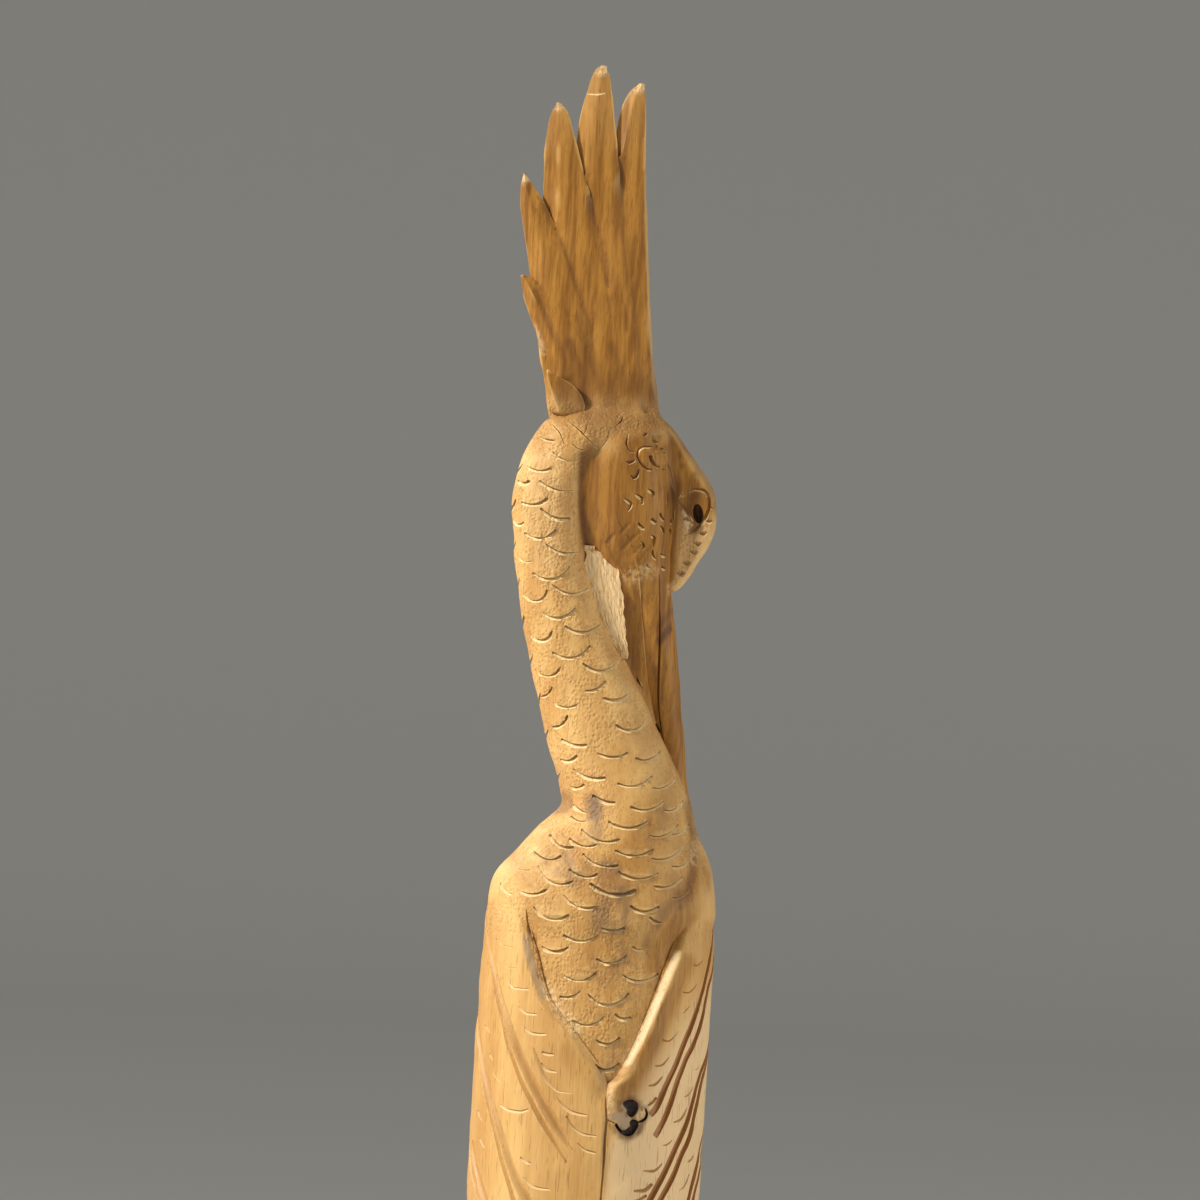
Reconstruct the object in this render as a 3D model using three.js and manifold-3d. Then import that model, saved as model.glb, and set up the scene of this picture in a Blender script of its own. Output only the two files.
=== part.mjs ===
// A heron carved from one straight log: folded wings, a scaled neck bent over at the top, a beak
// hanging beside the neck and a fan crest of pointed blades, on two legs and a low round base.
// Millimetres, +Z up. The back faces -Y and the breast +Y. The origin is the middle of the
// base's underside. The bird and its base are one piece of wood, so there is one solid.

import * as THREE from 'three';
import { mergeVertices } from 'three/addons/utils/BufferGeometryUtils.js';
import Module from 'manifold-3d';

const wasm = await Module();
wasm.setup();

// Overall sizes.
const HEIGHT = 508;
const BASE_RADIUS = 44;
const BASE_HEIGHT = 22;
const LOG_RADIUS = 35;

// The outline was drawn on the face of the log that stands this far round from the back, so the
// body, neck, head and crest are worked out square to that face and then turned with it.
const DRAWN_FACE_TURN = 11;

// Level slices through the body and neck: height, left, right, back and front.
const TRUNK = [
  [56, -6, 10, -24, -14],
  [62, -15, 18, -28, -6],
  [80, -21, 25, -31, 8],
  [100, -27, 29, -32.5, 18],
  [125, -31.5, 32.5, -33, 25],
  [150, -33.8, 34, -32.6, 29],
  [185, -LOG_RADIUS, 34.8, -31.8, 31],
  [215, -LOG_RADIUS, LOG_RADIUS, -31, 31],
  [245, -34.4, LOG_RADIUS, -29.4, 30.8],
  [258, -33.9, 34.6, -27.2, 30],
  [265, -32.3, 33.4, -25.6, 28.8],
  [271.4, -26.7, 31.7, -23.8, 27.2],
  [278, -21.5, 28.3, -21.9, 24.4],
  [287, -13.4, 25, -19.2, 19.6],
  [292, -14.6, 23.2, -18.2, 17.4],
  [302, -18.3, 18.2, -16.5, 14.5],
  [317, -22.5, 10.3, -14.8, 11.5],
  [331, -26.4, 2.7, -13.6, 9.5],
  [346, -29.8, -5.7, -12.6, 8.4],
  [361, -32.5, -9.6, -12, 8],
  [375, -33.8, -10.4, -12, 7.5],
  [385, -32.8, -9.4, -11.5, 7.6],
  [391, -31, -6, -10.8, 8.2],
  [396, -28.7, 1, -9.8, 8.8],
  [400.5, -25.4, 6, -8.4, 8.2],
  [404.4, -20.6, 6.8, -5.6, 6.2],
];
const NECK_TOP = new THREE.Vector3(-7, 0.4, 406.8);
const RUMP = new THREE.Vector3(2, -20, 53);
const CROWN_HEIGHTS = [405.4, 402.6];
const CROWN_COLUMNS = 24;
const BODY_HEIGHTS = [196, 175, 150, 125, 100, 84, 72, 63, 57];
const BODY_COLUMNS = 20;

// Scales: rows of shallow stop cuts, each row shifted half a scale against the one above.
const UPPER_NECK_SCALES = { top: 399, rows: 9, around: 6, pitch: 5.7, cut: 0.8 };
const LOWER_NECK_SCALES = { top: 347.7, rows: 12, around: 8, pitch: 5.1, cut: 0.8 };
const MANTLE_SCALES = { top: 286.5, rows: 15, around: 7, pitch: 5.4, cut: 0.8 };
const MANTLE_SCALE_ANGLE = 21;
const SCALE_COLUMNS = 4;
const DROOP_SHARE = 0.74;
const LIP_FALL = 0.45;
const FRONT_ANGLES = [88, 106, 140, 180, 220, 254, 272];

// Wings: plates over the body that leave the mantle recessed between their inner edges.
const WING_RECESS = 2.5;
const RECESS_FADE = [244, 256];
const WING_FADE = [255, 268];
const WING_DIVE = 2;
const WING_DEPTH = 6;
const WING_CROWDING = 1.5;
const LIP_REACH = 12;
const WING_COLUMNS = 9;
const WING_ROWS = 13;
const SPLIT_X = 5.2;
const LEFT_WING = {
  side: -1,
  inner: [[74, SPLIT_X + 0.1], [203, SPLIT_X + 0.1], [218.6, -5.4], [228.3, -14.1],
    [240, -18.6], [252, -22.2], [268, -25]],
  lip: [[0, -1.2], [1.6, -0.1], [6, 0], [LIP_REACH, 0]],
};
const RIGHT_WING = {
  side: 1,
  inner: [[74, SPLIT_X - 0.1], [203, SPLIT_X - 0.1], [206, 8], [218.6, 14.1],
    [233.6, 19.5], [247, 23.8], [258, 26.7], [268, 28]],
  lip: [[0, -2.2], [2.6, 0.5], [6, 0.5], [LIP_REACH, -0.2]],
};
const WING_FRONT = [[74, 17], [86, 45], [100, 68], [125, 100], [150, 122], [180, 134], [230, 124],
  [268, 100]];

// Gouged channels, in pairs with a thin ridge between: upper end, lower end and sideways bow.
const CHANNEL_WIDTH = 3.2;
const CHANNEL_DEPTH = 1.7;
const CHANNEL_STEPS = 6;
const CUTTER_CLEAR = 1.5;
const CHANNELS = [
  { from: [-76, 247], to: [-8, 178.7], bow: -2.4 },
  { from: [-62, 238], to: [-4, 183.6], bow: -2.4 },
  { from: [-76, 214], to: [-10, 146], bow: -2 },
  { from: [-62, 204], to: [-6, 151], bow: -2 },
  { from: [-78, 180], to: [-12, 112], bow: -2 },
  { from: [-64, 170], to: [-8, 117], bow: -2 },
  { from: [80, 247], to: [34, 187], bow: 3.5 },
  { from: [80, 236], to: [27, 181], bow: 3.5 },
  { from: [80, 222], to: [26, 161], bow: 3.5 },
  { from: [80, 211], to: [20, 154], bow: 3.5 },
  { from: [80, 192], to: [22, 130], bow: 3.5 },
  { from: [80, 181], to: [16, 123], bow: 3.5 },
];

// Feather points at the end of each wing and of the tail: the angle round from the back, the
// heights of root and tip, and the half width.
const WING_TIPS = [
  { angle: 4, top: 118, tip: 68, half: 5.5 },
  { angle: 22, top: 124, tip: 76, half: 5.5 },
  { angle: 41, top: 132, tip: 86, half: 5.5 },
];
const WING_TIP_LIFT = -0.6;
const TAIL_BLADES = [
  { angle: 0, top: 96, tip: 47, half: 6 },
  { angle: -15, top: 92, tip: 50, half: 5.5 },
  { angle: 15, top: 92, tip: 50, half: 5.5 },
  { angle: -29, top: 90, tip: 55, half: 5 },
  { angle: 29, top: 90, tip: 55, half: 5 },
];
const TAIL_LIFT = -3.4;
const BODY_BLADE_SHARES = [0, 0.4, 0.7, 0.88, 1];
const BODY_BLADE_FULL = 0.3;
const BODY_BLADE_THICKNESS = 2.2;
const BODY_BLADE_SWELL = [0.12, 0.82];
const LOWEST_BACKING = 80;

// Level slices through the head and the hanging beak: height, left, right, back and front.
const HEAD = [
  [280, 23.4, 27, 7, 10.8],
  [290, 18, 24.8, 4.8, 11.2],
  [301.5, 14, 22.8, 2.8, 11.2],
  [319, 8, 20.2, -0.4, 10.4],
  [337, 3.6, 17.9, -3.2, 10],
  [348, 1, 16.1, -5.4, 10.2],
  [354, -3.8, 15.5, -7.2, 11.2],
  [361, -11.6, 15.2, -9.2, 13],
  [373, -15.8, 15, -10.6, 14.6],
  [382, -17.6, 14.3, -10.4, 14.4],
  [391, -18, 13.2, -9.6, 13.4],
  [398, -17, 12.2, -8.4, 12],
  [403, -13.4, 10.4, -6, 9.6],
];
const HEAD_TOP = new THREE.Vector3(-2, 2, 406);
const HEAD_TOP_DRAW = 0.45;
const BEAK_TIP = new THREE.Vector3(27.6, 9.2, 276.8);
const HEAD_HEIGHTS = [281, 290, 301, 319, 337, 346, 352, 357, 363, 372, 381, 390, 397, 401, 403.6];
const HEAD_SIDES = 16;
const GAPE = { from: [11.3, 358], to: [17.6, 300], steps: 6, width: 1.6, depth: 1.1 };

// The raw wood left between the neck and the beak.
const WEB = { back: -4, front: 6, outline: [[-22, 368], [-12, 330], [4, 292], [20, 292], [9, 330],
  [3, 368]] };

// The comb over the brow, with a blind nostril on each face.
const COMB_OUTLINE = [[4, 404], [10.6, 402.6], [18.5, 393.7], [24, 386.4], [27.2, 380], [27.4, 371],
  [23.6, 361.8], [15.5, 351.4], [8, 358]];
const COMB_BACK = -1.5;
const COMB_THICKNESS = 9;
const COMB_BEVEL = 1.6;
const COMB_POINTS = 22;
const OVAL_SIDES = 12;
const NOSTRIL = { at: [22, 375.8], hole: [1.7, 3.4], ring: [3.5, 5.6], bevel: 0.6,
  rise: 0.8, sink: 2.2 };

// Eyes: a round boss on each side of the head.
const EYE = { at: [6, 390.9], radius: 3.4, rise: 2, back: -8.2, front: 12.2, facets: [10, 6] };

// Crest blades from the rearmost to the foremost: root and tip on the drawn face, how far the
// root runs on into the head, sideways bow, half width, the share of the length for which the
// blade stays full, and the share below which it runs on under the blade in front of it. The
// leaf at the foot of the crest leads, that is, stands out from the others.
const CREST = [
  { root: [1.6, 408.4], tip: [-2.7, 503.4], reach: 9, bow: -2.1, half: 5.1, full: 0.75, notch: 0.84 },
  { root: [-2.9, 408.1], tip: [-14.4, HEIGHT], reach: 9, bow: -2.4, half: 6.9, full: 0.6, notch: 0.76 },
  { root: [-8.3, 407.8], tip: [-27.2, 496.2], reach: 9, bow: -1.7, half: 7.6, full: 0.5, notch: 0.65 },
  { root: [-14, 407.4], tip: [-36.1, 474.3], reach: 9, bow: 0.2, half: 7.6, full: 0.25, notch: 0.43 },
  { root: [-15.4, 407.3], tip: [-34.8, 443.7], reach: 9, bow: 1.8, half: 6, full: 0.25, notch: 0.2 },
  { root: [-17.6, 403.6], tip: [-25.6, 416], reach: 2, bow: 0, half: 5.4, full: 0.2, notch: 0,
    lead: 1.6 },
];
const CREST_SHARES = [0.05, 0.3, 0.5, 0.65, 0.78, 0.88, 0.95, 1];
const CREST_TUCK = 7;
const CREST_FLARE = 2.6;
const CREST_FLARE_SHARE = 0.2;
const CREST_FOOT = 404;
const CREST_ROOT_Y = 0.4;
const CREST_REAR_Y = 3.6;
const CREST_LAYER = 1.5;
const CREST_LAYERING = [398, 420];
const CREST_ROOT_THICKNESS = 4.5;
const CREST_TIP_THICKNESS = 1.1;
const CREST_THINNING = 0.6;
const CREST_BURIED_SHARE = 0.9;
const BLADE_BLUNTNESS = 0.1;
const BLADE_ROUNDING = 0.6;
const BLADE_SECTION = [[-1, 0.2], [-0.4, 1], [1, 0.6], [1, -0.5], [0, -0.8], [-1, -0.5]];
const TUCKED_EDGE = [-1, 0.85];
const FULL_TUCK = 2.5;

// Legs and feet, square to the bird itself.
const LEG_SPREAD = 13;
const LEG_Y = 8;
const LEG_SIDES = 8;
const THIGH = { y: 5, z: 86, half: [9.5, 11, 22], facets: [12, 8] };
const LEG_PROFILE = [[84, 5, 6], [68, 9.5, 4.4], [58, 10.5, 4], [51, 11, 5], [44, 10, 3.9],
  [30, LEG_Y, 3.8], [24, LEG_Y, 4.8], [18, LEG_Y, 5]];
const HIND_TOE_TURN = 188;
const TOE_TURNS = [-30, 8, 46, HIND_TOE_TURN];
const TOE_SIDES = 5;
const TOE_RISE = 0.5;
const TOE_LENGTH = 21;
const HIND_TOE_LENGTH = 13;
const TOE_PROFILE = [[0, 4], [0.4, 3.1], [0.6, 3.5], [1, 1]];

const BASE_SIDES = 36;
const BASE_FACETS = 12;
const BASE_WAVE = 0.4;
const BASE_CROWN = 0.4;
const BASE_PROFILE = [[0, -0.8], [7, 0], [17, -1.6], [21, -7], [BASE_HEIGHT, -16]];

const SIDES = [-1, 1];
const MERGE_DISTANCE = 1e-4;
const rad = THREE.MathUtils.degToRad;
const smooth = THREE.MathUtils.smoothstep;

// Monotone cubic curves through rows of [position, value, value ...], one value or several.
function curveThrough(rows) {
  const slope = (a, b, column) => (b[column] - a[column]) / (b[0] - a[0]);
  const tangent = (index, column) => {
    if (index === 0 || index === rows.length - 1) return 0;
    const before = slope(rows[index - 1], rows[index], column);
    const after = slope(rows[index], rows[index + 1], column);
    return before * after <= 0 ? 0 : (2 * before * after) / (before + after);
  };
  return (position) => {
    let index = rows.findIndex((row) => row[0] > position) - 1;
    if (index === -2) index = rows.length - 2;
    index = Math.max(index, 0);
    const [a, b] = [rows[index], rows[index + 1]];
    const span = b[0] - a[0];
    const t = THREE.MathUtils.clamp((position - a[0]) / span, 0, 1);
    return a.slice(1).map((value, k) => {
      const column = k + 1;
      const [t2, t3] = [t * t, t * t * t];
      return (2 * t3 - 3 * t2 + 1) * value + (3 * t2 - 2 * t3) * b[column]
        + (t3 - 2 * t2 + t) * span * tangent(index, column)
        + (t3 - t2) * span * tangent(index + 1, column);
    });
  };
}

// A point of a level oval slice. The angle starts at the back and grows towards the right.
function onSlice(slices, angle, z, lift = 0) {
  const [left, right, back, front] = slices(z);
  const half = { x: (right - left) / 2, y: (front - back) / 2 };
  const out = new THREE.Vector2(Math.sin(angle) / half.x, -Math.cos(angle) / half.y).normalize();
  return new THREE.Vector3(
    (left + right) / 2 + half.x * Math.sin(angle) + lift * out.x,
    (back + front) / 2 - half.y * Math.cos(angle) + lift * out.y,
    z,
  );
}

// Turns faces outwards where the listed triangles enclose a negative volume.
function geometryOf(points, faces) {
  const volume = faces.reduce((sum, [a, b, c]) => {
    const cross = new THREE.Vector3().crossVectors(points[b], points[c]);
    return sum + points[a].dot(cross);
  }, 0);
  const outward = volume < 0 ? faces.map(([a, b, c]) => [a, c, b]) : faces;
  const geometry = new THREE.BufferGeometry().setFromPoints(points);
  geometry.setIndex(outward.flat());
  return geometry;
}

// A closed skin over rings of points, from one pole to the other. Each ring's points stand in
// order of their share of the way round, and two rings may have different numbers of points.
function skin(startPole, rings, endPole) {
  const points = [startPole];
  const starts = rings.map((ring) => {
    const start = points.length;
    points.push(...ring.map((corner) => corner.point));
    return start;
  });
  points.push(endPole);
  const faces = [];
  const corner = (index, step) => starts[index] + (step % rings[index].length);
  const share = (index, step) => {
    const ring = rings[index];
    return ring[step % ring.length].share + Math.floor(step / ring.length);
  };
  rings[0].forEach((_, step) => faces.push([0, corner(0, step + 1), corner(0, step)]));
  for (let index = 0; index + 1 < rings.length; index += 1) {
    const [count, nextCount] = [rings[index].length, rings[index + 1].length];
    let [step, next] = [0, 0];
    while (step < count || next < nextCount) {
      const ahead = share(index, step + 1) <= share(index + 1, next + 1);
      if (next === nextCount || (step < count && ahead)) {
        faces.push([corner(index, step), corner(index, step + 1), corner(index + 1, next)]);
        step += 1;
      } else {
        faces.push([corner(index, step), corner(index + 1, next + 1), corner(index + 1, next)]);
        next += 1;
      }
    }
  }
  const last = rings.length - 1;
  const pole = points.length - 1;
  rings[last].forEach((_, step) => faces.push([pole, corner(last, step), corner(last, step + 1)]));
  return geometryOf(points, faces);
}

// A ring of evenly shared points, made by a function of the angle.
function ringOf(count, pointAt) {
  return Array.from({ length: count }, (_, step) => (
    { share: step / count, point: pointAt((2 * Math.PI * step) / count) }
  ));
}

// A curved plate between an outer and an inner grid of points of the same size.
function plate(outer, inner) {
  const [rows, columns] = [outer.length, outer[0].length];
  const points = [...outer.flat(), ...inner.flat()];
  const outerAt = (row, column) => row * columns + column;
  const innerAt = (row, column) => rows * columns + outerAt(row, column);
  const faces = [];
  const quad = (a, b, c, d) => faces.push([a, b, c], [a, c, d]);
  for (let row = 0; row + 1 < rows; row += 1) {
    for (let column = 0; column + 1 < columns; column += 1) {
      quad(outerAt(row, column), outerAt(row, column + 1), outerAt(row + 1, column + 1),
        outerAt(row + 1, column));
      quad(innerAt(row, column), innerAt(row + 1, column), innerAt(row + 1, column + 1),
        innerAt(row, column + 1));
    }
    quad(outerAt(row, 0), outerAt(row + 1, 0), innerAt(row + 1, 0), innerAt(row, 0));
    quad(outerAt(row + 1, columns - 1), outerAt(row, columns - 1), innerAt(row, columns - 1),
      innerAt(row + 1, columns - 1));
  }
  for (let column = 0; column + 1 < columns; column += 1) {
    quad(outerAt(0, column + 1), outerAt(0, column), innerAt(0, column), innerAt(0, column + 1));
    quad(outerAt(rows - 1, column), outerAt(rows - 1, column + 1), innerAt(rows - 1, column + 1),
      innerAt(rows - 1, column));
  }
  return geometryOf(points, faces);
}

// The two rings of one row of scales: the edge of the scales and the foot of the cut below it.
function scaleRow(slices, shares, scaleCount, z, pitch, cut, shift) {
  const rings = [[], []];
  shares.forEach(({ share, angle, along }) => {
    const place = along === null ? 0 : (((along * scaleCount + shift) % 1) + 1) % 1;
    const arch = along === null ? 0 : 1 - (2 * place - 1) ** 2;
    const edge = z - DROOP_SHARE * pitch * arch;
    rings[0].push({ share, point: onSlice(slices, angle, edge) });
    rings[1].push({ share, point: onSlice(slices, angle, edge - LIP_FALL, -cut * arch) });
  });
  return rings;
}

function rowsOfScales(slices, shares, scales) {
  return Array.from({ length: scales.rows }, (_, row) => scaleRow(slices, shares, scales.around,
    scales.top - row * scales.pitch, scales.pitch, scales.cut, (row % 2) / 2)).flat();
}

function evenShares(scales) {
  const count = scales.around * SCALE_COLUMNS;
  return Array.from({ length: count }, (_, step) => (
    { share: step / count, angle: (2 * Math.PI * step) / count, along: step / count }
  ));
}

// Close columns over the scales on the back, and a few wide ones over the plain breast.
function mantleShares(scales) {
  const count = scales.around * SCALE_COLUMNS;
  const arc = rad(scales.around * MANTLE_SCALE_ANGLE);
  const start = -arc / 2;
  const back = Array.from({ length: count + 1 }, (_, step) => (
    { angle: start + (arc * step) / count, along: step / count }
  ));
  const front = FRONT_ANGLES.map((angle) => ({ angle: rad(angle), along: null }));
  return [...back, ...front]
    .map((column) => ({ ...column, angle: (column.angle + 2 * Math.PI) % (2 * Math.PI) }))
    .sort((a, b) => a.angle - b.angle)
    .map((column) => ({ ...column, share: column.angle / (2 * Math.PI) }));
}

// Body and neck, sunk by the recess where the wings lie over them.
function trunk() {
  const table = curveThrough(TRUNK);
  const sunk = (z) => {
    const recess = WING_RECESS * (1 - smooth(z, ...RECESS_FADE));
    const [left, right, back, front] = table(z);
    return [left + recess, right - recess, back + recess, front];
  };
  const plainRing = (count, z) => ringOf(count, (angle) => onSlice(sunk, angle, z));
  const rings = [
    ...rowsOfScales(sunk, evenShares(UPPER_NECK_SCALES), UPPER_NECK_SCALES),
    ...rowsOfScales(sunk, evenShares(LOWER_NECK_SCALES), LOWER_NECK_SCALES),
    ...rowsOfScales(sunk, mantleShares(MANTLE_SCALES), MANTLE_SCALES),
    ...BODY_HEIGHTS.map((z) => plainRing(BODY_COLUMNS, z)),
  ];
  const crown = CROWN_HEIGHTS.map((z) => plainRing(CROWN_COLUMNS, z));
  return skin(NECK_TOP, [...crown, ...rings], RUMP);
}

// The angle at which a level slice passes a given place across the back.
function angleAt(slices, x, z) {
  const [left, right] = slices(z);
  return Math.asin(THREE.MathUtils.clamp((2 * x - left - right) / (right - left), -1, 1));
}

function wing(shape) {
  const slices = curveThrough(TRUNK);
  const inner = curveThrough(shape.inner);
  const frontEdge = curveThrough(WING_FRONT);
  const lip = curveThrough(shape.lip);
  const [low, high] = [WING_FRONT[0][0], WING_FRONT[WING_FRONT.length - 1][0]];
  const gridAt = (liftAt) => Array.from({ length: WING_ROWS + 1 }, (_, row) => {
    const z = low + ((high - low) * row) / WING_ROWS;
    const start = angleAt(slices, inner(z)[0], z);
    const end = shape.side * rad(frontEdge(z)[0]);
    return Array.from({ length: WING_COLUMNS + 1 }, (__, column) => {
      const share = column / WING_COLUMNS;
      const angle = start + (end - start) * share ** WING_CROWDING;
      const width = Math.abs(angle - start) * LOG_RADIUS;
      return onSlice(slices, angle, z, liftAt(z, width));
    });
  });
  const fade = (z) => smooth(z, ...WING_FADE);
  const outer = gridAt((z, width) => (
    lip(Math.min(width, LIP_REACH))[0] * (1 - fade(z)) - WING_DIVE * fade(z)
  ));
  return plate(outer, gridAt(() => -WING_DEPTH));
}

// A V-shaped groove cutter along points on a surface, each with the surface's outward direction.
// It stands clear of the surface, where it is wider in proportion.
function grooveCutter(path, width, depth) {
  const rings = path.slice(1, -1).map(({ point, out }, index) => {
    const along = new THREE.Vector3().subVectors(path[index + 2].point, path[index].point);
    const across = new THREE.Vector3().crossVectors(along, out).normalize();
    const reach = (width / 2) * (1 + CUTTER_CLEAR / depth);
    const place = (aside, lift) => (
      point.clone().addScaledVector(across, aside).addScaledVector(out, lift)
    );
    return [
      { share: 0, point: place(reach, CUTTER_CLEAR) },
      { share: 1 / 3, point: place(0, -depth) },
      { share: 2 / 3, point: place(-reach, CUTTER_CLEAR) },
    ];
  });
  const end = ({ point, out }) => point.clone().addScaledVector(out, CUTTER_CLEAR / 2);
  return skin(end(path[0]), rings, end(path[path.length - 1]));
}

function channelCutter({ from, to, bow }) {
  const slices = curveThrough(TRUNK);
  const path = Array.from({ length: CHANNEL_STEPS + 1 }, (_, step) => {
    const share = step / CHANNEL_STEPS;
    const angle = rad(from[0] + (to[0] - from[0]) * share);
    const z = from[1] + (to[1] - from[1]) * share + bow * Math.sin(Math.PI * share);
    const point = onSlice(slices, angle, z);
    return { point, out: onSlice(slices, angle, z, 1).sub(point) };
  });
  return grooveCutter(path, CHANNEL_WIDTH, CHANNEL_DEPTH);
}

// The line of the mouth, on the back side of the beak or on its front side.
function gapeCutter(side) {
  const slices = curveThrough(HEAD);
  const path = Array.from({ length: GAPE.steps + 1 }, (_, step) => {
    const share = step / GAPE.steps;
    const x = GAPE.from[0] + (GAPE.to[0] - GAPE.from[0]) * share;
    const z = GAPE.from[1] + (GAPE.to[1] - GAPE.from[1]) * share;
    const across = angleAt(slices, x, z);
    const angle = side < 0 ? across : Math.PI - across;
    const point = onSlice(slices, angle, z);
    return { point, out: onSlice(slices, angle, z, 1).sub(point) };
  });
  return grooveCutter(path, GAPE.width, GAPE.depth);
}

// A flat pointed blade along a path, with a ridge off its middle on the side that it faces. Where
// its edge is tucked under another blade, the edge keeps its thickness.
function blade(path, facing) {
  const rings = path.slice(0, -1).map(({ point, half, thickness, tuck = 0, flare = 0 }, index) => {
    const along = new THREE.Vector3().subVectors(path[index + 1].point, point);
    const across = new THREE.Vector3().crossVectors(along, facing).normalize();
    const place = (x, y) => point.clone()
      .addScaledVector(across, x * half + (x < -0.9 ? -tuck : 0) + (x > 0.9 ? flare : 0))
      .addScaledVector(facing, y * thickness);
    const [bevelled, ...others] = BLADE_SECTION;
    const tucked = Math.min(1, tuck / FULL_TUCK);
    const edge = bevelled.map((value, axis) => (
      THREE.MathUtils.lerp(value, TUCKED_EDGE[axis], tucked)
    ));
    return [edge, ...others].map(([x, y], step) => (
      { share: step / BLADE_SECTION.length, point: place(x, y) }
    ));
  });
  return skin(path[0].point.clone(), rings, path[path.length - 1].point);
}

// How wide a blade is along its length, as a share of its widest: full, then a blunt point.
function bladeTaper(share, full) {
  const past = Math.max(0, (share - full) / (1 - full));
  return BLADE_BLUNTNESS + (1 - BLADE_BLUNTNESS) * Math.max(0, 1 - past * past) ** BLADE_ROUNDING;
}

// The rearmost blade widens towards its foot, where the crest runs out into the brow.
function crestFlare(share) {
  return CREST_FLARE * THREE.MathUtils.clamp(1 - share / CREST_FLARE_SHARE, 0, 1) ** 2;
}

function crestBlade(shape, layer) {
  const { root, tip, reach, bow, half, full, notch, lead = 0 } = shape;
  const layered = CREST_REAR_Y - layer * CREST_LAYER;
  const length = Math.hypot(tip[0] - root[0], tip[1] - root[1]);
  const path = [-reach / length, ...CREST_SHARES].map((share) => {
    const sway = bow * Math.sin(Math.PI * Math.max(share, 0));
    const buried = share < 0 ? CREST_BURIED_SHARE : 1;
    const z = THREE.MathUtils.lerp(root[1], tip[1], share);
    const width = bladeTaper(share, full);
    const thinning = Math.max(0, (z - CREST_FOOT) / (HEIGHT - CREST_FOOT)) ** CREST_THINNING;
    const thickness = THREE.MathUtils.lerp(CREST_ROOT_THICKNESS, CREST_TIP_THICKNESS, thinning);
    return {
      point: new THREE.Vector3(
        THREE.MathUtils.lerp(root[0], tip[0], share) + sway,
        THREE.MathUtils.lerp(CREST_ROOT_Y, layered, smooth(z, ...CREST_LAYERING)) - lead,
        z,
      ),
      half: half * buried * width,
      thickness: thickness * buried * Math.sqrt(width),
      tuck: CREST_TUCK * Math.sqrt(Math.max(0, notch - share)),
      flare: layer > 0 ? 0 : crestFlare(share),
    };
  });
  return blade(path, new THREE.Vector3(0, -1, 0));
}

// A feather point lying on the lower body, worked out square to the bird itself.
function bodyBlade({ angle, top, tip, half }, lift) {
  const slices = curveThrough(TRUNK);
  const turn = rad(angle + DRAWN_FACE_TURN);
  const out = onSlice(slices, turn, top, 1).sub(onSlice(slices, turn, top));
  const path = BODY_BLADE_SHARES.map((share) => {
    const z = THREE.MathUtils.lerp(top, tip, share);
    const point = onSlice(slices, turn, Math.max(z, LOWEST_BACKING), lift);
    point.z = z;
    const swell = Math.sin(Math.PI * THREE.MathUtils.lerp(...BODY_BLADE_SWELL, share));
    const thickness = BODY_BLADE_THICKNESS * swell;
    return { point, half: half * bladeTaper(share, BODY_BLADE_FULL), thickness };
  });
  return blade(path, out);
}

function head() {
  const slices = curveThrough(HEAD);
  const rings = HEAD_HEIGHTS.map((z) => ringOf(HEAD_SIDES, (angle) => onSlice(slices, angle, z)));
  rings[rings.length - 1].forEach(({ point }) => point.lerp(HEAD_TOP, HEAD_TOP_DRAW));
  return skin(BEAK_TIP, rings, HEAD_TOP);
}

// An outline on the drawn face, given a thickness from its back plane towards the breast.
function extruded(outline, back, thickness, bevel = 0) {
  const shape = new THREE.Shape(outline.map(([x, z]) => new THREE.Vector2(x, z)));
  const geometry = new THREE.ExtrudeGeometry(shape, {
    depth: thickness - 2 * bevel,
    bevelEnabled: bevel > 0,
    bevelThickness: bevel,
    bevelSize: bevel,
    bevelOffset: -bevel,
    bevelSegments: 1,
  });
  geometry.rotateX(Math.PI / 2);
  geometry.translate(0, back + thickness - bevel, 0);
  return geometry;
}

function oval([x, z], [halfWidth, halfHeight]) {
  return Array.from({ length: OVAL_SIDES }, (_, step) => {
    const angle = (2 * Math.PI * step) / OVAL_SIDES;
    return [x + halfWidth * Math.cos(angle), z + halfHeight * Math.sin(angle)];
  });
}

function comb() {
  const front = COMB_BACK + COMB_THICKNESS;
  const curve = new THREE.CatmullRomCurve3(
    COMB_OUTLINE.map(([x, z]) => new THREE.Vector3(x, 0, z)), true, 'centripetal');
  const outline = curve.getPoints(COMB_POINTS).slice(0, -1).map((point) => [point.x, point.z]);
  const body = toSolid(extruded(outline, COMB_BACK, COMB_THICKNESS, COMB_BEVEL));
  const ring = toSolid(extruded(oval(NOSTRIL.at, NOSTRIL.ring), COMB_BACK - NOSTRIL.rise,
    COMB_THICKNESS + 2 * NOSTRIL.rise, NOSTRIL.bevel));
  const hole = (back, thickness) => toSolid(
    extruded(oval(NOSTRIL.at, NOSTRIL.hole), back, thickness));
  const depth = NOSTRIL.sink + 2 * NOSTRIL.rise;
  return body.add(ring)
    .subtract(hole(COMB_BACK - 2 * NOSTRIL.rise, depth))
    .subtract(hole(front - NOSTRIL.sink, depth));
}

function eye(y) {
  const geometry = new THREE.SphereGeometry(1, ...EYE.facets);
  geometry.scale(EYE.radius, EYE.rise, EYE.radius);
  geometry.translate(EYE.at[0], y, EYE.at[1]);
  return geometry;
}

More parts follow.
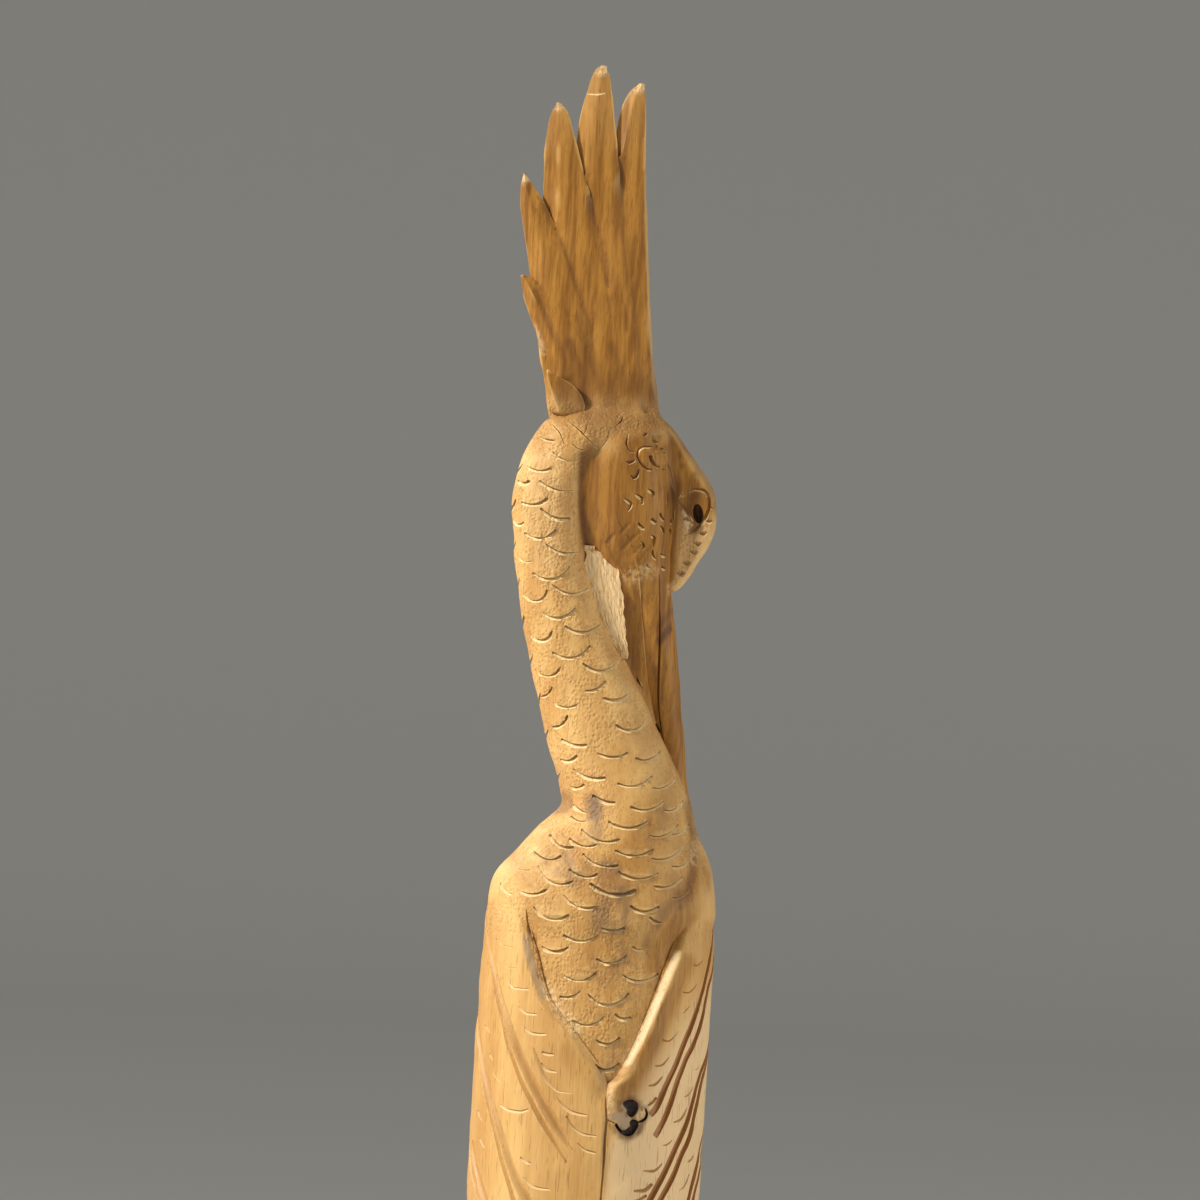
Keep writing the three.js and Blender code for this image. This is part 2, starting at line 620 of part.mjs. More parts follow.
// A round limb along points that each have a radius, closed flat at both ends.
function limb(path, sides) {
  const rings = path.map(({ point, radius }, index) => {
    const before = path[Math.max(index - 1, 0)];
    const after = path[Math.min(index + 1, path.length - 1)];
    const along = new THREE.Vector3().subVectors(after.point, before.point).normalize();
    const upright = Math.abs(along.z) > Math.SQRT1_2;
    const aside = upright ? new THREE.Vector3(1, 0, 0) : new THREE.Vector3(0, 0, 1);
    const u = new THREE.Vector3().crossVectors(along, aside).normalize();
    const v = new THREE.Vector3().crossVectors(along, u);
    return ringOf(sides, (angle) => point.clone()
      .addScaledVector(u, radius * Math.cos(angle))
      .addScaledVector(v, radius * Math.sin(angle)));
  });
  return skin(path[0].point.clone(), rings, path[path.length - 1].point.clone());
}

function leg(side) {
  return limb(LEG_PROFILE.map(([z, y, radius]) => (
    { point: new THREE.Vector3(side * LEG_SPREAD, y, z), radius }
  )), LEG_SIDES);
}

function thigh(side) {
  const geometry = new THREE.SphereGeometry(1, ...THIGH.facets);
  geometry.scale(...THIGH.half);
  geometry.translate(side * LEG_SPREAD, THIGH.y, THIGH.z);
  return geometry;
}

function toe(side, turn) {
  const length = turn === HIND_TOE_TURN ? HIND_TOE_LENGTH : TOE_LENGTH;
  const direction = new THREE.Vector3(side * Math.sin(rad(turn)), Math.cos(rad(turn)), 0);
  return limb(TOE_PROFILE.map(([share, radius]) => ({
    point: new THREE.Vector3(side * LEG_SPREAD, LEG_Y, BASE_HEIGHT + TOE_RISE)
      .addScaledVector(direction, share * length),
    radius,
  })), TOE_SIDES);
}

function base() {
  const rings = BASE_PROFILE.map(([z, inset]) => ringOf(BASE_SIDES, (angle) => {
    const wave = BASE_WAVE * Math.cos(BASE_FACETS * angle) - BASE_WAVE;
    const radius = BASE_RADIUS + inset + wave;
    return new THREE.Vector3(radius * Math.cos(angle), radius * Math.sin(angle), z);
  }));
  return skin(new THREE.Vector3(0, 0, 0), rings, new THREE.Vector3(0, 0, BASE_HEIGHT + BASE_CROWN));
}

function web() {
  return extruded(WEB.outline, WEB.back, WEB.front - WEB.back);
}

// A solid ready to be joined or cut, with only its positions kept and its shared corners merged.
function toSolid(geometry) {
  const bare = geometry.clone();
  bare.deleteAttribute('normal');
  bare.deleteAttribute('uv');
  const merged = mergeVertices(bare, MERGE_DISTANCE);
  return new wasm.Manifold(new wasm.Mesh({
    numProp: 3,
    vertProperties: new Float32Array(merged.attributes.position.array),
    triVerts: new Uint32Array(merged.index.array),
  }));
}

function joined(solids) {
  return solids.reduce((sum, solid) => sum.add(solid));
}

// Everything that was drawn on the turned face, joined and cut.
function drawnSolids() {
  const plain = [trunk(), wing(LEFT_WING), wing(RIGHT_WING), head(), web(), eye(EYE.back),
    eye(EYE.front), ...CREST.map(crestBlade),
    ...SIDES.flatMap((side) => WING_TIPS.map((tip) => (
      bodyBlade({ ...tip, angle: side * tip.angle }, WING_TIP_LIFT)
    ))),
    ...TAIL_BLADES.map((tail) => bodyBlade(tail, TAIL_LIFT))];
  const cuts = [...CHANNELS.map(channelCutter), ...SIDES.map(gapeCutter)];
  return joined([...plain.map(toSolid), comb()]).subtract(joined(cuts.map(toSolid)));
}

function heronGeometry() {
  const carved = drawnSolids().rotate([0, 0, -DRAWN_FACE_TURN]);
  const foot = [base(), ...SIDES.flatMap((side) => [leg(side), thigh(side),
    ...TOE_TURNS.map((turn) => toe(side, turn))])];
  const mesh = carved.add(joined(foot.map(toSolid))).getMesh();
  const geometry = new THREE.BufferGeometry();
  geometry.setAttribute('position', new THREE.BufferAttribute(mesh.vertProperties, 3));
  geometry.setIndex(new THREE.BufferAttribute(mesh.triVerts, 1));
  return geometry;
}

const wood = new THREE.MeshStandardMaterial({
  color: 0xc99a55,
  roughness: 0.6,
  metalness: 0,
  flatShading: true,
});

const group = new THREE.Group();
const heron = new THREE.Mesh(heronGeometry(), wood);
heron.name = 'heron';
group.add(heron);

export default group;
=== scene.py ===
"""The dressed model of a carved wooden heron: one piece of wood with its gouge cuts and its finish.

Sizes in the tables are millimetres. The bird was drawn on a face of the log that stands a little
round from its back, so X runs across that face, Z up, and -Y towards the one who looks at it.
"""
import math

import bmesh
import bpy
import numpy as np
from mathutils import Matrix, Vector


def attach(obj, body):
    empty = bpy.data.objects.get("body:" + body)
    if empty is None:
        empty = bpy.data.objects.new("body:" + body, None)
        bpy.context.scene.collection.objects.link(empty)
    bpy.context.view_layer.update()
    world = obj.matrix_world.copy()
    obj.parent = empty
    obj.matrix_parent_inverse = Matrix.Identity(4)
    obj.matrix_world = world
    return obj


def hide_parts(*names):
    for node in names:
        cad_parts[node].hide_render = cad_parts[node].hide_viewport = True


bl_info = {
    "name": "Carved wooden heron",
    "version": (1, 0, 0),
    "blender": (4, 5, 0),
    "location": "View3D > Sidebar > Heron",
    "description": "Carves a wooden heron, finishes its wood and sets up a plain studio",
    "category": "Object",
}

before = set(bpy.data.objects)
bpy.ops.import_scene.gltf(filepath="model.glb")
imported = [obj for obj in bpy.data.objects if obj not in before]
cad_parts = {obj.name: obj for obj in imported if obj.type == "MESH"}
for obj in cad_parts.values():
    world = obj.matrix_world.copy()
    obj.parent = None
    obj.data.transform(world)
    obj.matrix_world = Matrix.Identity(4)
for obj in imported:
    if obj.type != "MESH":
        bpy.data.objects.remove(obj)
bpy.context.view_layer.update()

HEIGHT = 508.0
BASE_RADIUS = 44.0
BASE_HEIGHT = 22.0
DRAWN_FACE_TURN = 11.0
MM = 0.001

# Level slices through the body and neck: height, left, right, back and front.
TRUNK = [
    [56, -6, 10, -24, -14], [62, -15, 18, -28, -6], [80, -21, 25, -31, 8],
    [100, -27, 29, -32.5, 18], [125, -31.5, 32.5, -33, 25], [150, -33.8, 34, -32.6, 29],
    [185, -35, 34.8, -31.8, 31], [215, -35, 35, -31, 31], [245, -34.4, 35, -29.4, 30.8],
    [258, -33.9, 34.6, -27.2, 30], [265, -32.3, 33.4, -25.6, 28.8],
    [271.4, -26.7, 31.7, -23.8, 27.2], [278, -21.5, 28.3, -21.9, 24.4],
    [287, -13.4, 25, -19.2, 19.6], [292, -14.6, 23.2, -18.2, 17.4],
    [302, -18.3, 18.2, -16.5, 14.5], [317, -22.5, 10.3, -14.8, 11.5],
    [331, -26.4, 2.7, -13.6, 9.5], [346, -29.8, -5.7, -12.6, 8.4],
    [361, -32.5, -9.6, -12, 8], [375, -33.8, -10.4, -12, 7.5], [385, -32.8, -9.4, -11.5, 7.6],
    [391, -31, -6, -10.8, 8.2], [396, -28.7, 1, -9.8, 8.8], [400.5, -25.4, 6, -8.4, 8.2],
    [404.4, -20.6, 6.8, -5.6, 6.2],
]
# Runs of even heights at which the rings lie: first, last and count. The last rings of neck and
# head are drawn in towards the pole by these shares.
TRUNK_RUNS = ((57, 198, 36), (200, 290, 62), (291.3, 404.2, 88), (405.2, 405.9, 2))
TRUNK_COLUMNS = 100
TRUNK_CLOSING = (0.25, 0.55)
BACK_CROWDING = 0.28
NECK_TOP = (-7.0, 0.4, 406.8)
RUMP = (2.0, -20.0, 53.0)

# Wings: plates over the body that leave the mantle sunk between their inner edges.
WING_RECESS = 2.5
RECESS_FADE = (244.0, 256.0)
WING_DIVE = 2.0
WING_DEPTH = 6.0
WING_CROWDING = 1.5
WING_RUNS = ((74, 160, 40), (161.5, 268, 84))
WING_COLUMNS = 62
LIP_REACH = 12
LIP_START = (197, 207)
# The left wing's torn edge: where it starts and ends up the wing, how far in, and how rough.
TORN_START = (212, 219)
TORN_END = (246, 251)
TORN_REACH = (3, 5)
TORN_ROUGHNESS = 0.2
SPLIT_X = 5.2
LOG_RADIUS = 35.0
SIDE_RADIUS = 34.0
LEFT_WING = {
    "side": -1,
    "inner": [[74, SPLIT_X + 0.1], [203, SPLIT_X + 0.1], [218.6, -5.4], [228.3, -14.1],
              [240, -18.6], [252, -22.2], [268, -25]],
    "lip": [[0, -2.1], [1.2, -1.5], [3.2, -0.2], [4.6, 0], [12, 0]],
    "fade": (250, 268),
}
RIGHT_WING = {
    "side": 1,
    "inner": [[74, SPLIT_X - 0.1], [203, SPLIT_X - 0.1], [206, 8], [218.6, 14.1],
              [233.6, 19.5], [247, 23.8], [258, 26.7], [268, 28]],
    "lip": [[0, -2.2], [2.4, 0.6], [3.4, 0.75], [6.5, 0.5], [12, -0.2]],
    "fade": (243, 262),
}
WING_FRONT = [[74, 17], [86, 45], [100, 68], [125, 100], [150, 122], [180, 134], [230, 124],
              [268, 100]]
# Channels gouged in the wings, from the side down to the middle: angles and heights. A narrow
# one and a broad one run together on the left, two flat ones on the right.
LEFT_NARROW = [
    [(-92, 252), (-75.9, 242.9), (-64.5, 235.6), (-56.3, 226.7), (-49.1, 217.8), (-43.1, 210.5),
     (-36.4, 203.4), (-28.6, 196.6), (-21.2, 190.1), (-13.6, 183.9), (-8, 179.3)],
    [(-90, 222), (-78, 213), (-69.1, 205.4), (-62.3, 198.5), (-56.2, 192.1), (-49.5, 184.2),
     (-42.8, 175.9), (-36.2, 167.1), (-24, 152), (-14, 141)],
    [(-88, 184), (-66, 166), (-44, 146), (-26, 127), (-12, 112)],
]
LEFT_BROAD = [
    [(-80, 247), (-62.7, 235.6), (-54.3, 227.2), (-46.2, 219.4), (-38.3, 211.1), (-30.5, 203.8),
     (-22.3, 196.6), (-14.6, 190.3), (-8.7, 185.5), (-5.1, 182.7)],
    [(-84, 222), (-70, 210), (-61.3, 201.5), (-53.4, 193.2), (-46.7, 186.3), (-39.6, 178),
     (-33.5, 171.7), (-27.7, 166.9), (-16, 152), (-9, 144)],
    [(-78, 184), (-58, 167), (-38, 148), (-21, 130), (-8, 117)],
]
RIGHT_CHANNELS = [
    [(96, 257), (84, 249), (75.5, 243), (67.3, 232.9), (57.1, 222.7), (50.2, 215.1),
     (46.1, 209.9), (42.1, 205.8), (38.5, 201.7), (35.8, 198.1), (33.1, 195.8), (30.6, 194.6)],
    [(92, 246), (82, 239), (74.9, 233), (69.1, 225.9), (60, 216.8), (54.6, 212.7), (50.6, 208.1),
     (47.2, 203.5), (43.7, 198.4), (40.7, 193.8), (37.3, 190.2), (34.7, 187.8)],
    [(96, 226), (82, 215), (71.3, 207.9), (66.8, 203.9), (59.1, 194.7), (54.7, 190.1),
     (50.2, 185.5), (45, 179.9), (40.2, 175.2), (35.7, 170.6), (24, 155)],
    [(98, 222), (84, 213), (74.7, 206), (66.6, 196.8), (60.5, 188.2), (55.9, 184.1),
     (51.5, 179), (46.1, 173.9), (41.2, 169.2), (28, 153)],
    [(100, 204), (84, 190), (72.7, 179.4), (65.7, 169.8), (50, 150), (34, 132)],
    [(104, 200), (90, 188), (78, 177), (70, 167), (55, 147), (38, 128)],
]
# Feather points at the end of each wing and of the tail: angle, root, tip and half width.
WING_TIPS = [(4, 118, 68, 5.5), (22, 124, 76, 5.5), (41, 132, 86, 5.5)]
TAIL_BLADES = [(0, 96, 47, 6), (-15, 92, 50, 5.5), (15, 92, 50, 5.5), (-29, 90, 55, 5),
               (29, 90, 55, 5)]

HEAD = [
    [280, 23.4, 27, 7, 10.8], [290, 18, 24.8, 4.8, 11.2], [301.5, 14, 22.8, 2.8, 11.2],
    [319, 8, 20.2, -0.4, 10.4], [337, 3.6, 17.9, -3.2, 10], [348, 1, 16.1, -5.4, 10.2],
    [354, -3.8, 15.5, -7.2, 11.2], [361, -11.6, 15.2, -9.2, 13], [373, -15.8, 15, -10.6, 14.6],
    [382, -17.6, 14.3, -10.4, 14.4], [391, -18, 13.2, -9.6, 13.4], [398, -17, 12.2, -8.4, 12],
    [403, -13.4, 10.4, -6, 9.6],
]
HEAD_RUNS = ((279, 345, 56), (346, 403.4, 62), (404.4, 405.3, 2))
HEAD_COLUMNS = 84
HEAD_CLOSING = (0.08, 0.25, 0.55)
HEAD_TOP = (-2.0, 2.0, 406.0)
BEAK_TIP = (27.6, 9.2, 276.8)
# The line of the mouth down the beak, and the raw wood between neck and beak.
MOUTH = [(11.3, 358.6), (11.9, 352), (12.4, 345), (12.9, 334.9), (13.3, 321), (14.6, 311),
         (17.4, 302), (21, 294.5), (23.8, 287)]
# Height, left, right and back of the wood left between neck and beak.
WEB = [[292, 4, 20, -3.2], [310, -4, 14, -4], [330, -12, 9, -4.5], [345, -16, 7, -4.9],
       [358, -20, 5, -5.2], [366, -21, 2, -5.8], [372, -19, -2, -8], [381, -18, -3, -8.8],
       [390, -17, -3, -8.2], [397, -14, -2, -6.6]]
WEB_FRONT = 6.0
WEB_GRID = (66, 16)
WEB_SINK = 0.2
RAW_WEDGE = [[330.6, 2.9, 3.3], [335.8, 0.4, 2.7], [342.3, -2.9, 1.6], [348.8, -6.3, 0.8],
             [355.2, -8.5, -0.8], [359.4, -9.6, -2.2], [361.6, -10.2, -4.8], [362.9, -10.8, -8.8]]
WEDGE_GRID = (60, 22)
WEDGE_FACE = -6.3
WEDGE_LEAN = 0.05
WEDGE_KNEE = 340
WEDGE_WOBBLE = 0.3
WEDGE_TUCK = (2.2, 1.4)
WEDGE_TUCK_END = (355, 362)
FIBRE_DEPTH = 0.13
FIBRE_SLANT = 0.35
SPLINTER_DEPTH = 0.05

COMB_OUTLINE = [(4, 404), (10.6, 402.6), (18.5, 393.7), (24, 386.4), (27.2, 380), (27.4, 371),
                (23.6, 361.8), (15.5, 351.4), (8, 358)]
COMB_CENTRE = (15.5, 379.0)
COMB_BACK = -1.5
COMB_THICKNESS = 9.0
COMB_POINTS = 96
COMB_RIM = 2.4
COMB_RIM_STEPS = 7
COMB_RINGS = (3.2, 4.2, 5.2, 6.4, 7.6, 9, 10.5)

# Crest blades, rearmost first: rows of height, middle and half width, the share of the length
# below which the blade's left edge runs on under the one in front, and the height at which the
# blade parts from the one behind it.
CREST = [
    ([[399, 1.8, 4.6], [408.4, 1.6, 4.8], [429.3, -0.6, 5.1], [453.2, -2.6, 4.8],
      [474.1, -4.2, 4.5], [487.6, -5, 4.5], [495.2, -4.6, 3.6], [500.3, -3.7, 2.2],
      [503.4, -2.7, 0.9]], 0.76, 500),
    ([[399, -2, 5.8], [408.1, -2.9, 6], [431.9, -7.3, 6.6], [452.7, -10.4, 6.9],
      [470.6, -13.3, 6.6], [485.5, -15.1, 6], [494.5, -15.4, 4.8], [501.1, -15.2, 3.6],
      [506, -14.9, 2.2], [508, -14.4, 0.8]], 0.65, 483),
    ([[399, -6.6, 6.2], [407.8, -8.3, 6.6], [431.5, -13.9, 7.5], [452.2, -19.4, 7.5],
      [467, -23, 7.2], [478.9, -25.2, 5.4], [487.8, -26.4, 3.8], [493.2, -26.9, 2.5],
      [496.2, -27.2, 0.8]], 0.57, 475.7),
    ([[399, -12.6, 6.2], [407.4, -14, 6.6], [425.2, -18.9, 7.5], [441.3, -25, 6.9],
      [451.6, -28.4, 5.7], [459.9, -31.3, 4.6], [466.3, -33.8, 3.2], [470.7, -35.3, 1.9],
      [474.3, -36.1, 0.6]], 0.43, 463),
    ([[399, -14, 5], [407.3, -15.4, 5.4], [419.1, -19.8, 6], [426.4, -23.8, 5.7],
      [433, -27.8, 4.6], [437.7, -30.8, 3.4], [441.4, -33.2, 2], [443.7, -34.8, 0.6]], 0.2, 438),
]
CREST_LEAF = [[401.9, -19, 1.6], [402.8, -18.9, 4.2], [404.9, -19.1, 5.4], [408.8, -21.2, 4.7],
              [411.7, -23.3, 2.9], [414, -24.8, 1.4], [416, -25.6, 0.3]]
CREST_START = 399.0
CREST_FOOT = 404.0
BLADE_ROOT = 408.0
BLADE_POINT = 12.0
CREST_ROOT_Y = 1.3
CREST_OVERLAP = 0.3
CREST_REAR_Y = 3.6
CREST_LAYER = 0.9
CREST_LEAN = (402.0, 490.0)
CREST_PARTING = (-22.0, -2.0)
CREST_THICKNESS = (4.5, 1.5)
CREST_TUCK = 7.0
CREST_FLARE = 2.0

# Stop cuts under the scales: both ends and the depth of the bow.
SCALE_CUTS = [
    (-26.9, 395.7, -22.1, 394.8, 0.4), (-24.3, 392.8, -15.3, 388.8, 1.4),
    (-30.7, 386.9, -21.6, 387.3, 1.8), (-26.9, 383, -14.8, 380.3, 1.7),
    (-31.8, 376, -22.9, 377.9, 1.8), (-25.6, 374.8, -15.8, 371.9, 1.8),
    (-30.2, 367.1, -19.8, 368.8, 2.8), (-23.6, 364.2, -12.6, 362, 1.8),
    (-27.1, 355.4, -15, 358.4, 3.7), (-21.2, 352.6, -8.7, 351.8, 3),
    (-24, 343.9, -12.6, 345.8, 3.1), (-16.7, 340.1, -4.9, 340.9, 2.6),
    (-19.7, 332, -7.7, 334.8, 3.3), (-10.5, 329.5, 1.7, 331.5, 3.8),
    (-33.4, 371.1, -30, 370.2, 1.8), (-31.4, 361.1, -26.7, 358.4, 1.8),
    (-29.2, 350.1, -22, 350.7, 4.1), (-26.2, 337.9, -19.7, 338.4, 3.5),
    (-24.4, 326.9, -16.4, 327.8, 3.3), (-32.6, 382.4, -28.9, 382.6, 1.2),
    (-9.3, 320.5, -2.4, 324.4, 1.4), (-4, 319.1, 6.1, 322.9, 2.6), (-22.1, 317.8, -18.7, 321.4, 1),
    (-18.6, 316.8, -9.9, 317, 1.8), (-18.1, 309, -13.5, 313.3, 1.4), (0.4, 311.5, 10.8, 313.5, 3),
    (-15.2, 306, -6.4, 304.6, 1.2), (-4.4, 302.5, 5.8, 303.2, 1.7),
    (-15.2, 299.8, -9.7, 301.5, 1.4), (7, 301.6, 15.2, 304.1, 1.9),
    (-11.2, 297.4, -0.1, 295.2, 1.7), (1.9, 293.9, 13.4, 296.9, 2.4),
    (12.8, 293.1, 19.9, 296.5, 1.8), (-11.9, 291.9, -6.9, 292.9, 1.1), (-4.7, 289.8, 3, 287.8, 1),
    (6.3, 287.1, 17.6, 289.5, 2.2), (16.6, 286.5, 22.7, 289.9, 1.8),
    (-10.2, 286.6, -5.4, 284.2, 0.7), (-10.9, 283, -5.5, 282, 0.9), (0, 282.5, 13.5, 283.5, 2.6),
    (12.7, 278.8, 21.9, 283, 2.2), (19.6, 279.3, 25.1, 283, 1.4), (-7.7, 280, 5.5, 277.6, 2.8),
    (-10.9, 276.6, -1.7, 275.3, 1.8), (2.3, 274.2, 15.4, 275.2, 2.4),
    (13.2, 272.1, 24.2, 277.7, 2.9), (-6.8, 272.6, 5.3, 269.4, 2.2), (20, 269.9, 26.7, 273.7, 1.8),
    (-10.4, 267.6, -0.9, 266.6, 2), (-21.3, 271.9, -12.2, 271.3, 2), (-16.5, 277.4, -8.5, 273.9, 2),
    (3.9, 267.9, 17.3, 268.1, 2.6), (14.8, 263.9, 24.3, 267.5, 2.1), (-19.6, 268.8, -7.8, 264.4, 4),
    (-4.5, 264.2, 11.1, 262.7, 3), (20.6, 260.5, 26.9, 264.5, 1.7),
    (-27.8, 267.9, -21.4, 266.6, 1.2), (-25.4, 260.1, -15.7, 261.3, 1.8),
    (-30.6, 261.8, -26.4, 258.6, 1.2), (-11.9, 260.3, 0.2, 257.3, 2.9),
    (-20.4, 256.1, -8.7, 254.2, 3.3), (8.3, 257.9, 17.6, 258, 2.2), (14.3, 254.8, 23.3, 255.3, 2.5),
    (0, 250.5, 7.9, 251, 1.2), (-11.1, 248, 0.2, 248.5, 2.4), (-17.3, 244, -8.5, 244.4, 2),
    (9.9, 245.5, 15.3, 245.8, 1.4), (-0.9, 241.4, 9, 243.2, 2.5), (-10.5, 236, 0.2, 237.6, 2.8),
    (7, 237.4, 18.8, 238.2, 2.8), (-2.8, 231.5, 10.2, 232.4, 4.6), (-11.1, 229.2, -4.2, 231.7, 1.4),
    (-7.1, 222.8, 3.5, 224.8, 2.8), (6.1, 225.3, 11.2, 224.5, 1.4), (0.8, 217.3, 8.1, 218.5, 2.2),
    (0.6, 209.6, 8.6, 210.9, 2.2),
]
# The one deep cut at the foot of the neck, and the rows of plainer scales round the throat: how
# many rows and scales in a row, the first height and angle, and the steps between them.
DEEP_CUT = (-4.5, 264.2, 11.1, 262.7, 3)
THROAT_ROWS, THROAT_SCALES = 19, 4
THROAT_TOP, THROAT_STEP = 394, 5.7
THROAT_ANGLE, THROAT_TURN = 113, 45
THROAT_RADIUS = 12
# Crescents on the wings, as drawn lines.
WING_CUTS = [
    [(-31.9, 256.1), (-30.6, 253.4), (-28.2, 251.9)], [(-30.8, 245.1), (-28.7, 243), (-24.9, 242.6)],
    [(-29.1, 238.2), (-27, 236.6), (-23.3, 236.5)], [(-26.8, 232.8), (-24.7, 230.7), (-19.7, 230.6)],
    [(-22.9, 225.5), (-20.2, 223.5), (-16.7, 223.4)], [(-20.7, 219.4), (-18.1, 217.7), (-13.6, 217.6)],
    [(-15.3, 212.4), (-13, 211.9), (-10.7, 211.8)], [(-15.1, 209.2), (-12.7, 207.1), (-9.7, 206.6)],
    [(-17.4, 213.4), (-15.4, 209.2), (-12.5, 203.6), (-9.1, 200.9), (-4.6, 200.5)],
    [(-10, 199.8), (-7.6, 196.9), (-4.5, 195.1), (0.1, 194.3)],
    [(-6.4, 194), (-4.2, 190.6), (-0.6, 188.7), (3.2, 188.4)], [(-2.9, 186.2), (-0.3, 184.1), (3.4, 183.3)],
    [(-26.8, 195.7), (-24, 194.4), (-20.4, 194.1), (-17.6, 195.2)],
    [(-18.3, 174.7), (-14.6, 172.1), (-9.5, 171.5)],
    [(-19.6, 180.7), (-17, 179.1), (-15.5, 178.9)], [(-32.5, 218.9), (-30.8, 216.8), (-30.3, 216.1)],
    [(-29.7, 205.6), (-28, 203.2), (-26.4, 202)], [(-31.9, 185.4), (-30.5, 182.5), (-29.7, 181.5)],
    [(-30.5, 210.6), (-29.3, 208.6), (-28.8, 208.4)], [(-32.9, 193.4), (-31.8, 190.9), (-31, 190)],
    [(28.3, 240.9), (29.8, 240.4), (32.3, 242.7)], [(25.6, 232.4), (27.8, 232.2), (30.5, 235.3)],
    [(23.5, 225.8), (25.7, 225.5), (29.1, 229.3)], [(20.3, 218.1), (22.5, 217.5), (26.3, 221.6)],
    [(18.7, 210), (20.9, 210.2), (23.6, 213.5)], [(17, 204), (19.1, 204.3), (21.7, 207.3)],
    [(17.4, 197.9), (19.1, 199.3), (20.2, 201.1)], [(30.7, 209.4), (32, 209.4), (33.1, 211.2)],
    [(28, 200.9), (29.7, 201.7), (31.5, 205.1)], [(25.2, 193.3), (27.4, 194.1), (29.7, 198.2)],
    [(22.4, 186.3), (24.1, 186.6), (26, 188.5)], [(17.1, 178.6), (20.3, 178.6), (23.2, 181.3)],
    [(14.7, 172.5), (17.7, 172.7), (20.3, 175.1)], [(30.4, 181.5), (31.6, 182.3), (32.3, 183.8)],
    [(28.2, 172.8), (29.9, 173.9), (31.4, 178.3)], [(31.1, 248.6), (32.4, 248.2), (33.3, 249.5)],
    [(12.7, 168.6), (16.1, 169.6), (19, 171.5)],
]
# The crack between the wings and the slit at the top of the left wing's edge.
SPLIT = [(5.2, 205), (5, 200.7), (5.2, 196.2), (5.7, 193.6), (5.5, 187.7), (5.6, 180.2),
         (5.4, 170), (5.2, 150), (5, 122)]
SLIT = [(-22.3, 254.4), (-22.3, 251), (-21.9, 248), (-20.6, 244.6), (-19.2, 240.6)]
# The knot: the outlines of its black hollows, the tail that curls off to the right, the thin
# edge at the left, and the root that runs from it into the crack.
KNOT_HOLLOWS = [
    [(10.4, 198.6), (11.6, 199.4), (13.2, 199.5), (14.6, 198.6), (14.9, 197), (14.3, 195.4),
     (12.9, 194.4), (11.6, 195.4), (11.4, 196.8), (10.6, 197.5)],
    [(10.1, 190.1), (10.6, 189.2), (12.2, 188.7), (13.8, 189.3), (14.4, 190.6), (12.8, 191.5),
     (11.4, 190.5)],
    [(12.6, 192.8), (13.3, 193.7), (14.7, 193.5), (15.3, 192.3), (14.7, 190.6), (13.6, 189.3),
     (12.4, 190.1), (12.8, 191.6)],
]
KNOT_TAIL = [(14.4, 192.9), (16, 193.3), (17.2, 194.2), (17.6, 195.4), (17.3, 196.6), (16.7, 197.5)]
KNOT_EDGE = [(8.3, 192.3), (9.2, 190.9), (10.6, 189.5)]
KNOT_ROOT = [(5.1, 194.9), (6, 193.1), (7.4, 192.5), (8.4, 192.1)]
HOLLOW_LAYERS = [(1.12, 0.7), (1.05, 0), (0.95, -0.6), (0.84, -1), (0.6, -1.3), (0.25, -1.4)]
DISC_LAYERS = [(1, -2), (1, 0), (0.93, 0.3), (0.78, 0.5), (0.5, 0.62), (0.2, 0.66)]

# Strokes on the head, as drawn lines: the nicks on the cheek, the petals round the eye, the soft
# gouges under the cheek and the fine lines before the comb.
CHEEK_NICKS = [
    [(-0.8, 378.7), (1.1, 377.9), (2, 377), (1.6, 375.8), (0.8, 374.5)],
    [(2.6, 380.2), (4.4, 379.5), (5.2, 378.7), (5.2, 377.7), (4.7, 376.8)],
    [(6.2, 381.8), (7.6, 381.4), (8.4, 380.6), (8.3, 379.7), (8, 378.9)],
    [(4.2, 371.8), (5.1, 370.7), (6.4, 369.9)], [(8.1, 373.4), (9, 372.4), (9.9, 372)],
    [(10.6, 375.2), (11.2, 373.9), (12.2, 372.6)],
    [(8, 368.2), (9.6, 367.3), (9.4, 365.9), (9.2, 364.4)],
    [(9.2, 364), (9.3, 362.9), (10, 361.3), (10.8, 360.8)],
    [(10.8, 371.2), (12, 370.1), (12.3, 368.6)],
    [(4.9, 366.2), (6.3, 365.4), (6.5, 364.3), (5.8, 363.1)],
    [(13.5, 370.5), (14.2, 369.8), (14.2, 368.4)], [(11.6, 363.1), (12.3, 362.3), (13.3, 362.3)],
    [(7.6, 359.7), (8.1, 358.7), (9, 358.2)], [(12.1, 359.3), (12.7, 358.5), (13.5, 358.4)],
    [(14, 373.6), (14.2, 372.4), (13.7, 371.5)],
]
EYE_DISCS = [
    [(3.1, 393.1), (4.7, 394.2), (6.7, 394.1), (8.2, 392.7), (8.2, 390.4), (7.7, 388.4),
     (6.3, 387.9), (4.7, 388.7), (3.5, 390.2), (2.9, 391.8)],
    [(6.4, 392.4), (6.8, 390.7), (8.2, 389.3), (9.9, 389.1), (11.4, 389.9), (11.7, 391.8),
     (10.7, 393.1), (8.9, 393.6), (7.3, 393.4)],
]
EYE_RINGS = [
    [(7.5, 394.4), (6.2, 394.5), (4.5, 394.4), (2.9, 393.1), (2.7, 391.6), (3.4, 390),
     (4.6, 388.5), (6.3, 387.6), (7.7, 387.7)],
    [(6.4, 392), (6.7, 390.6), (7.5, 389.6), (8.6, 388.7), (10.1, 388.5)],
]
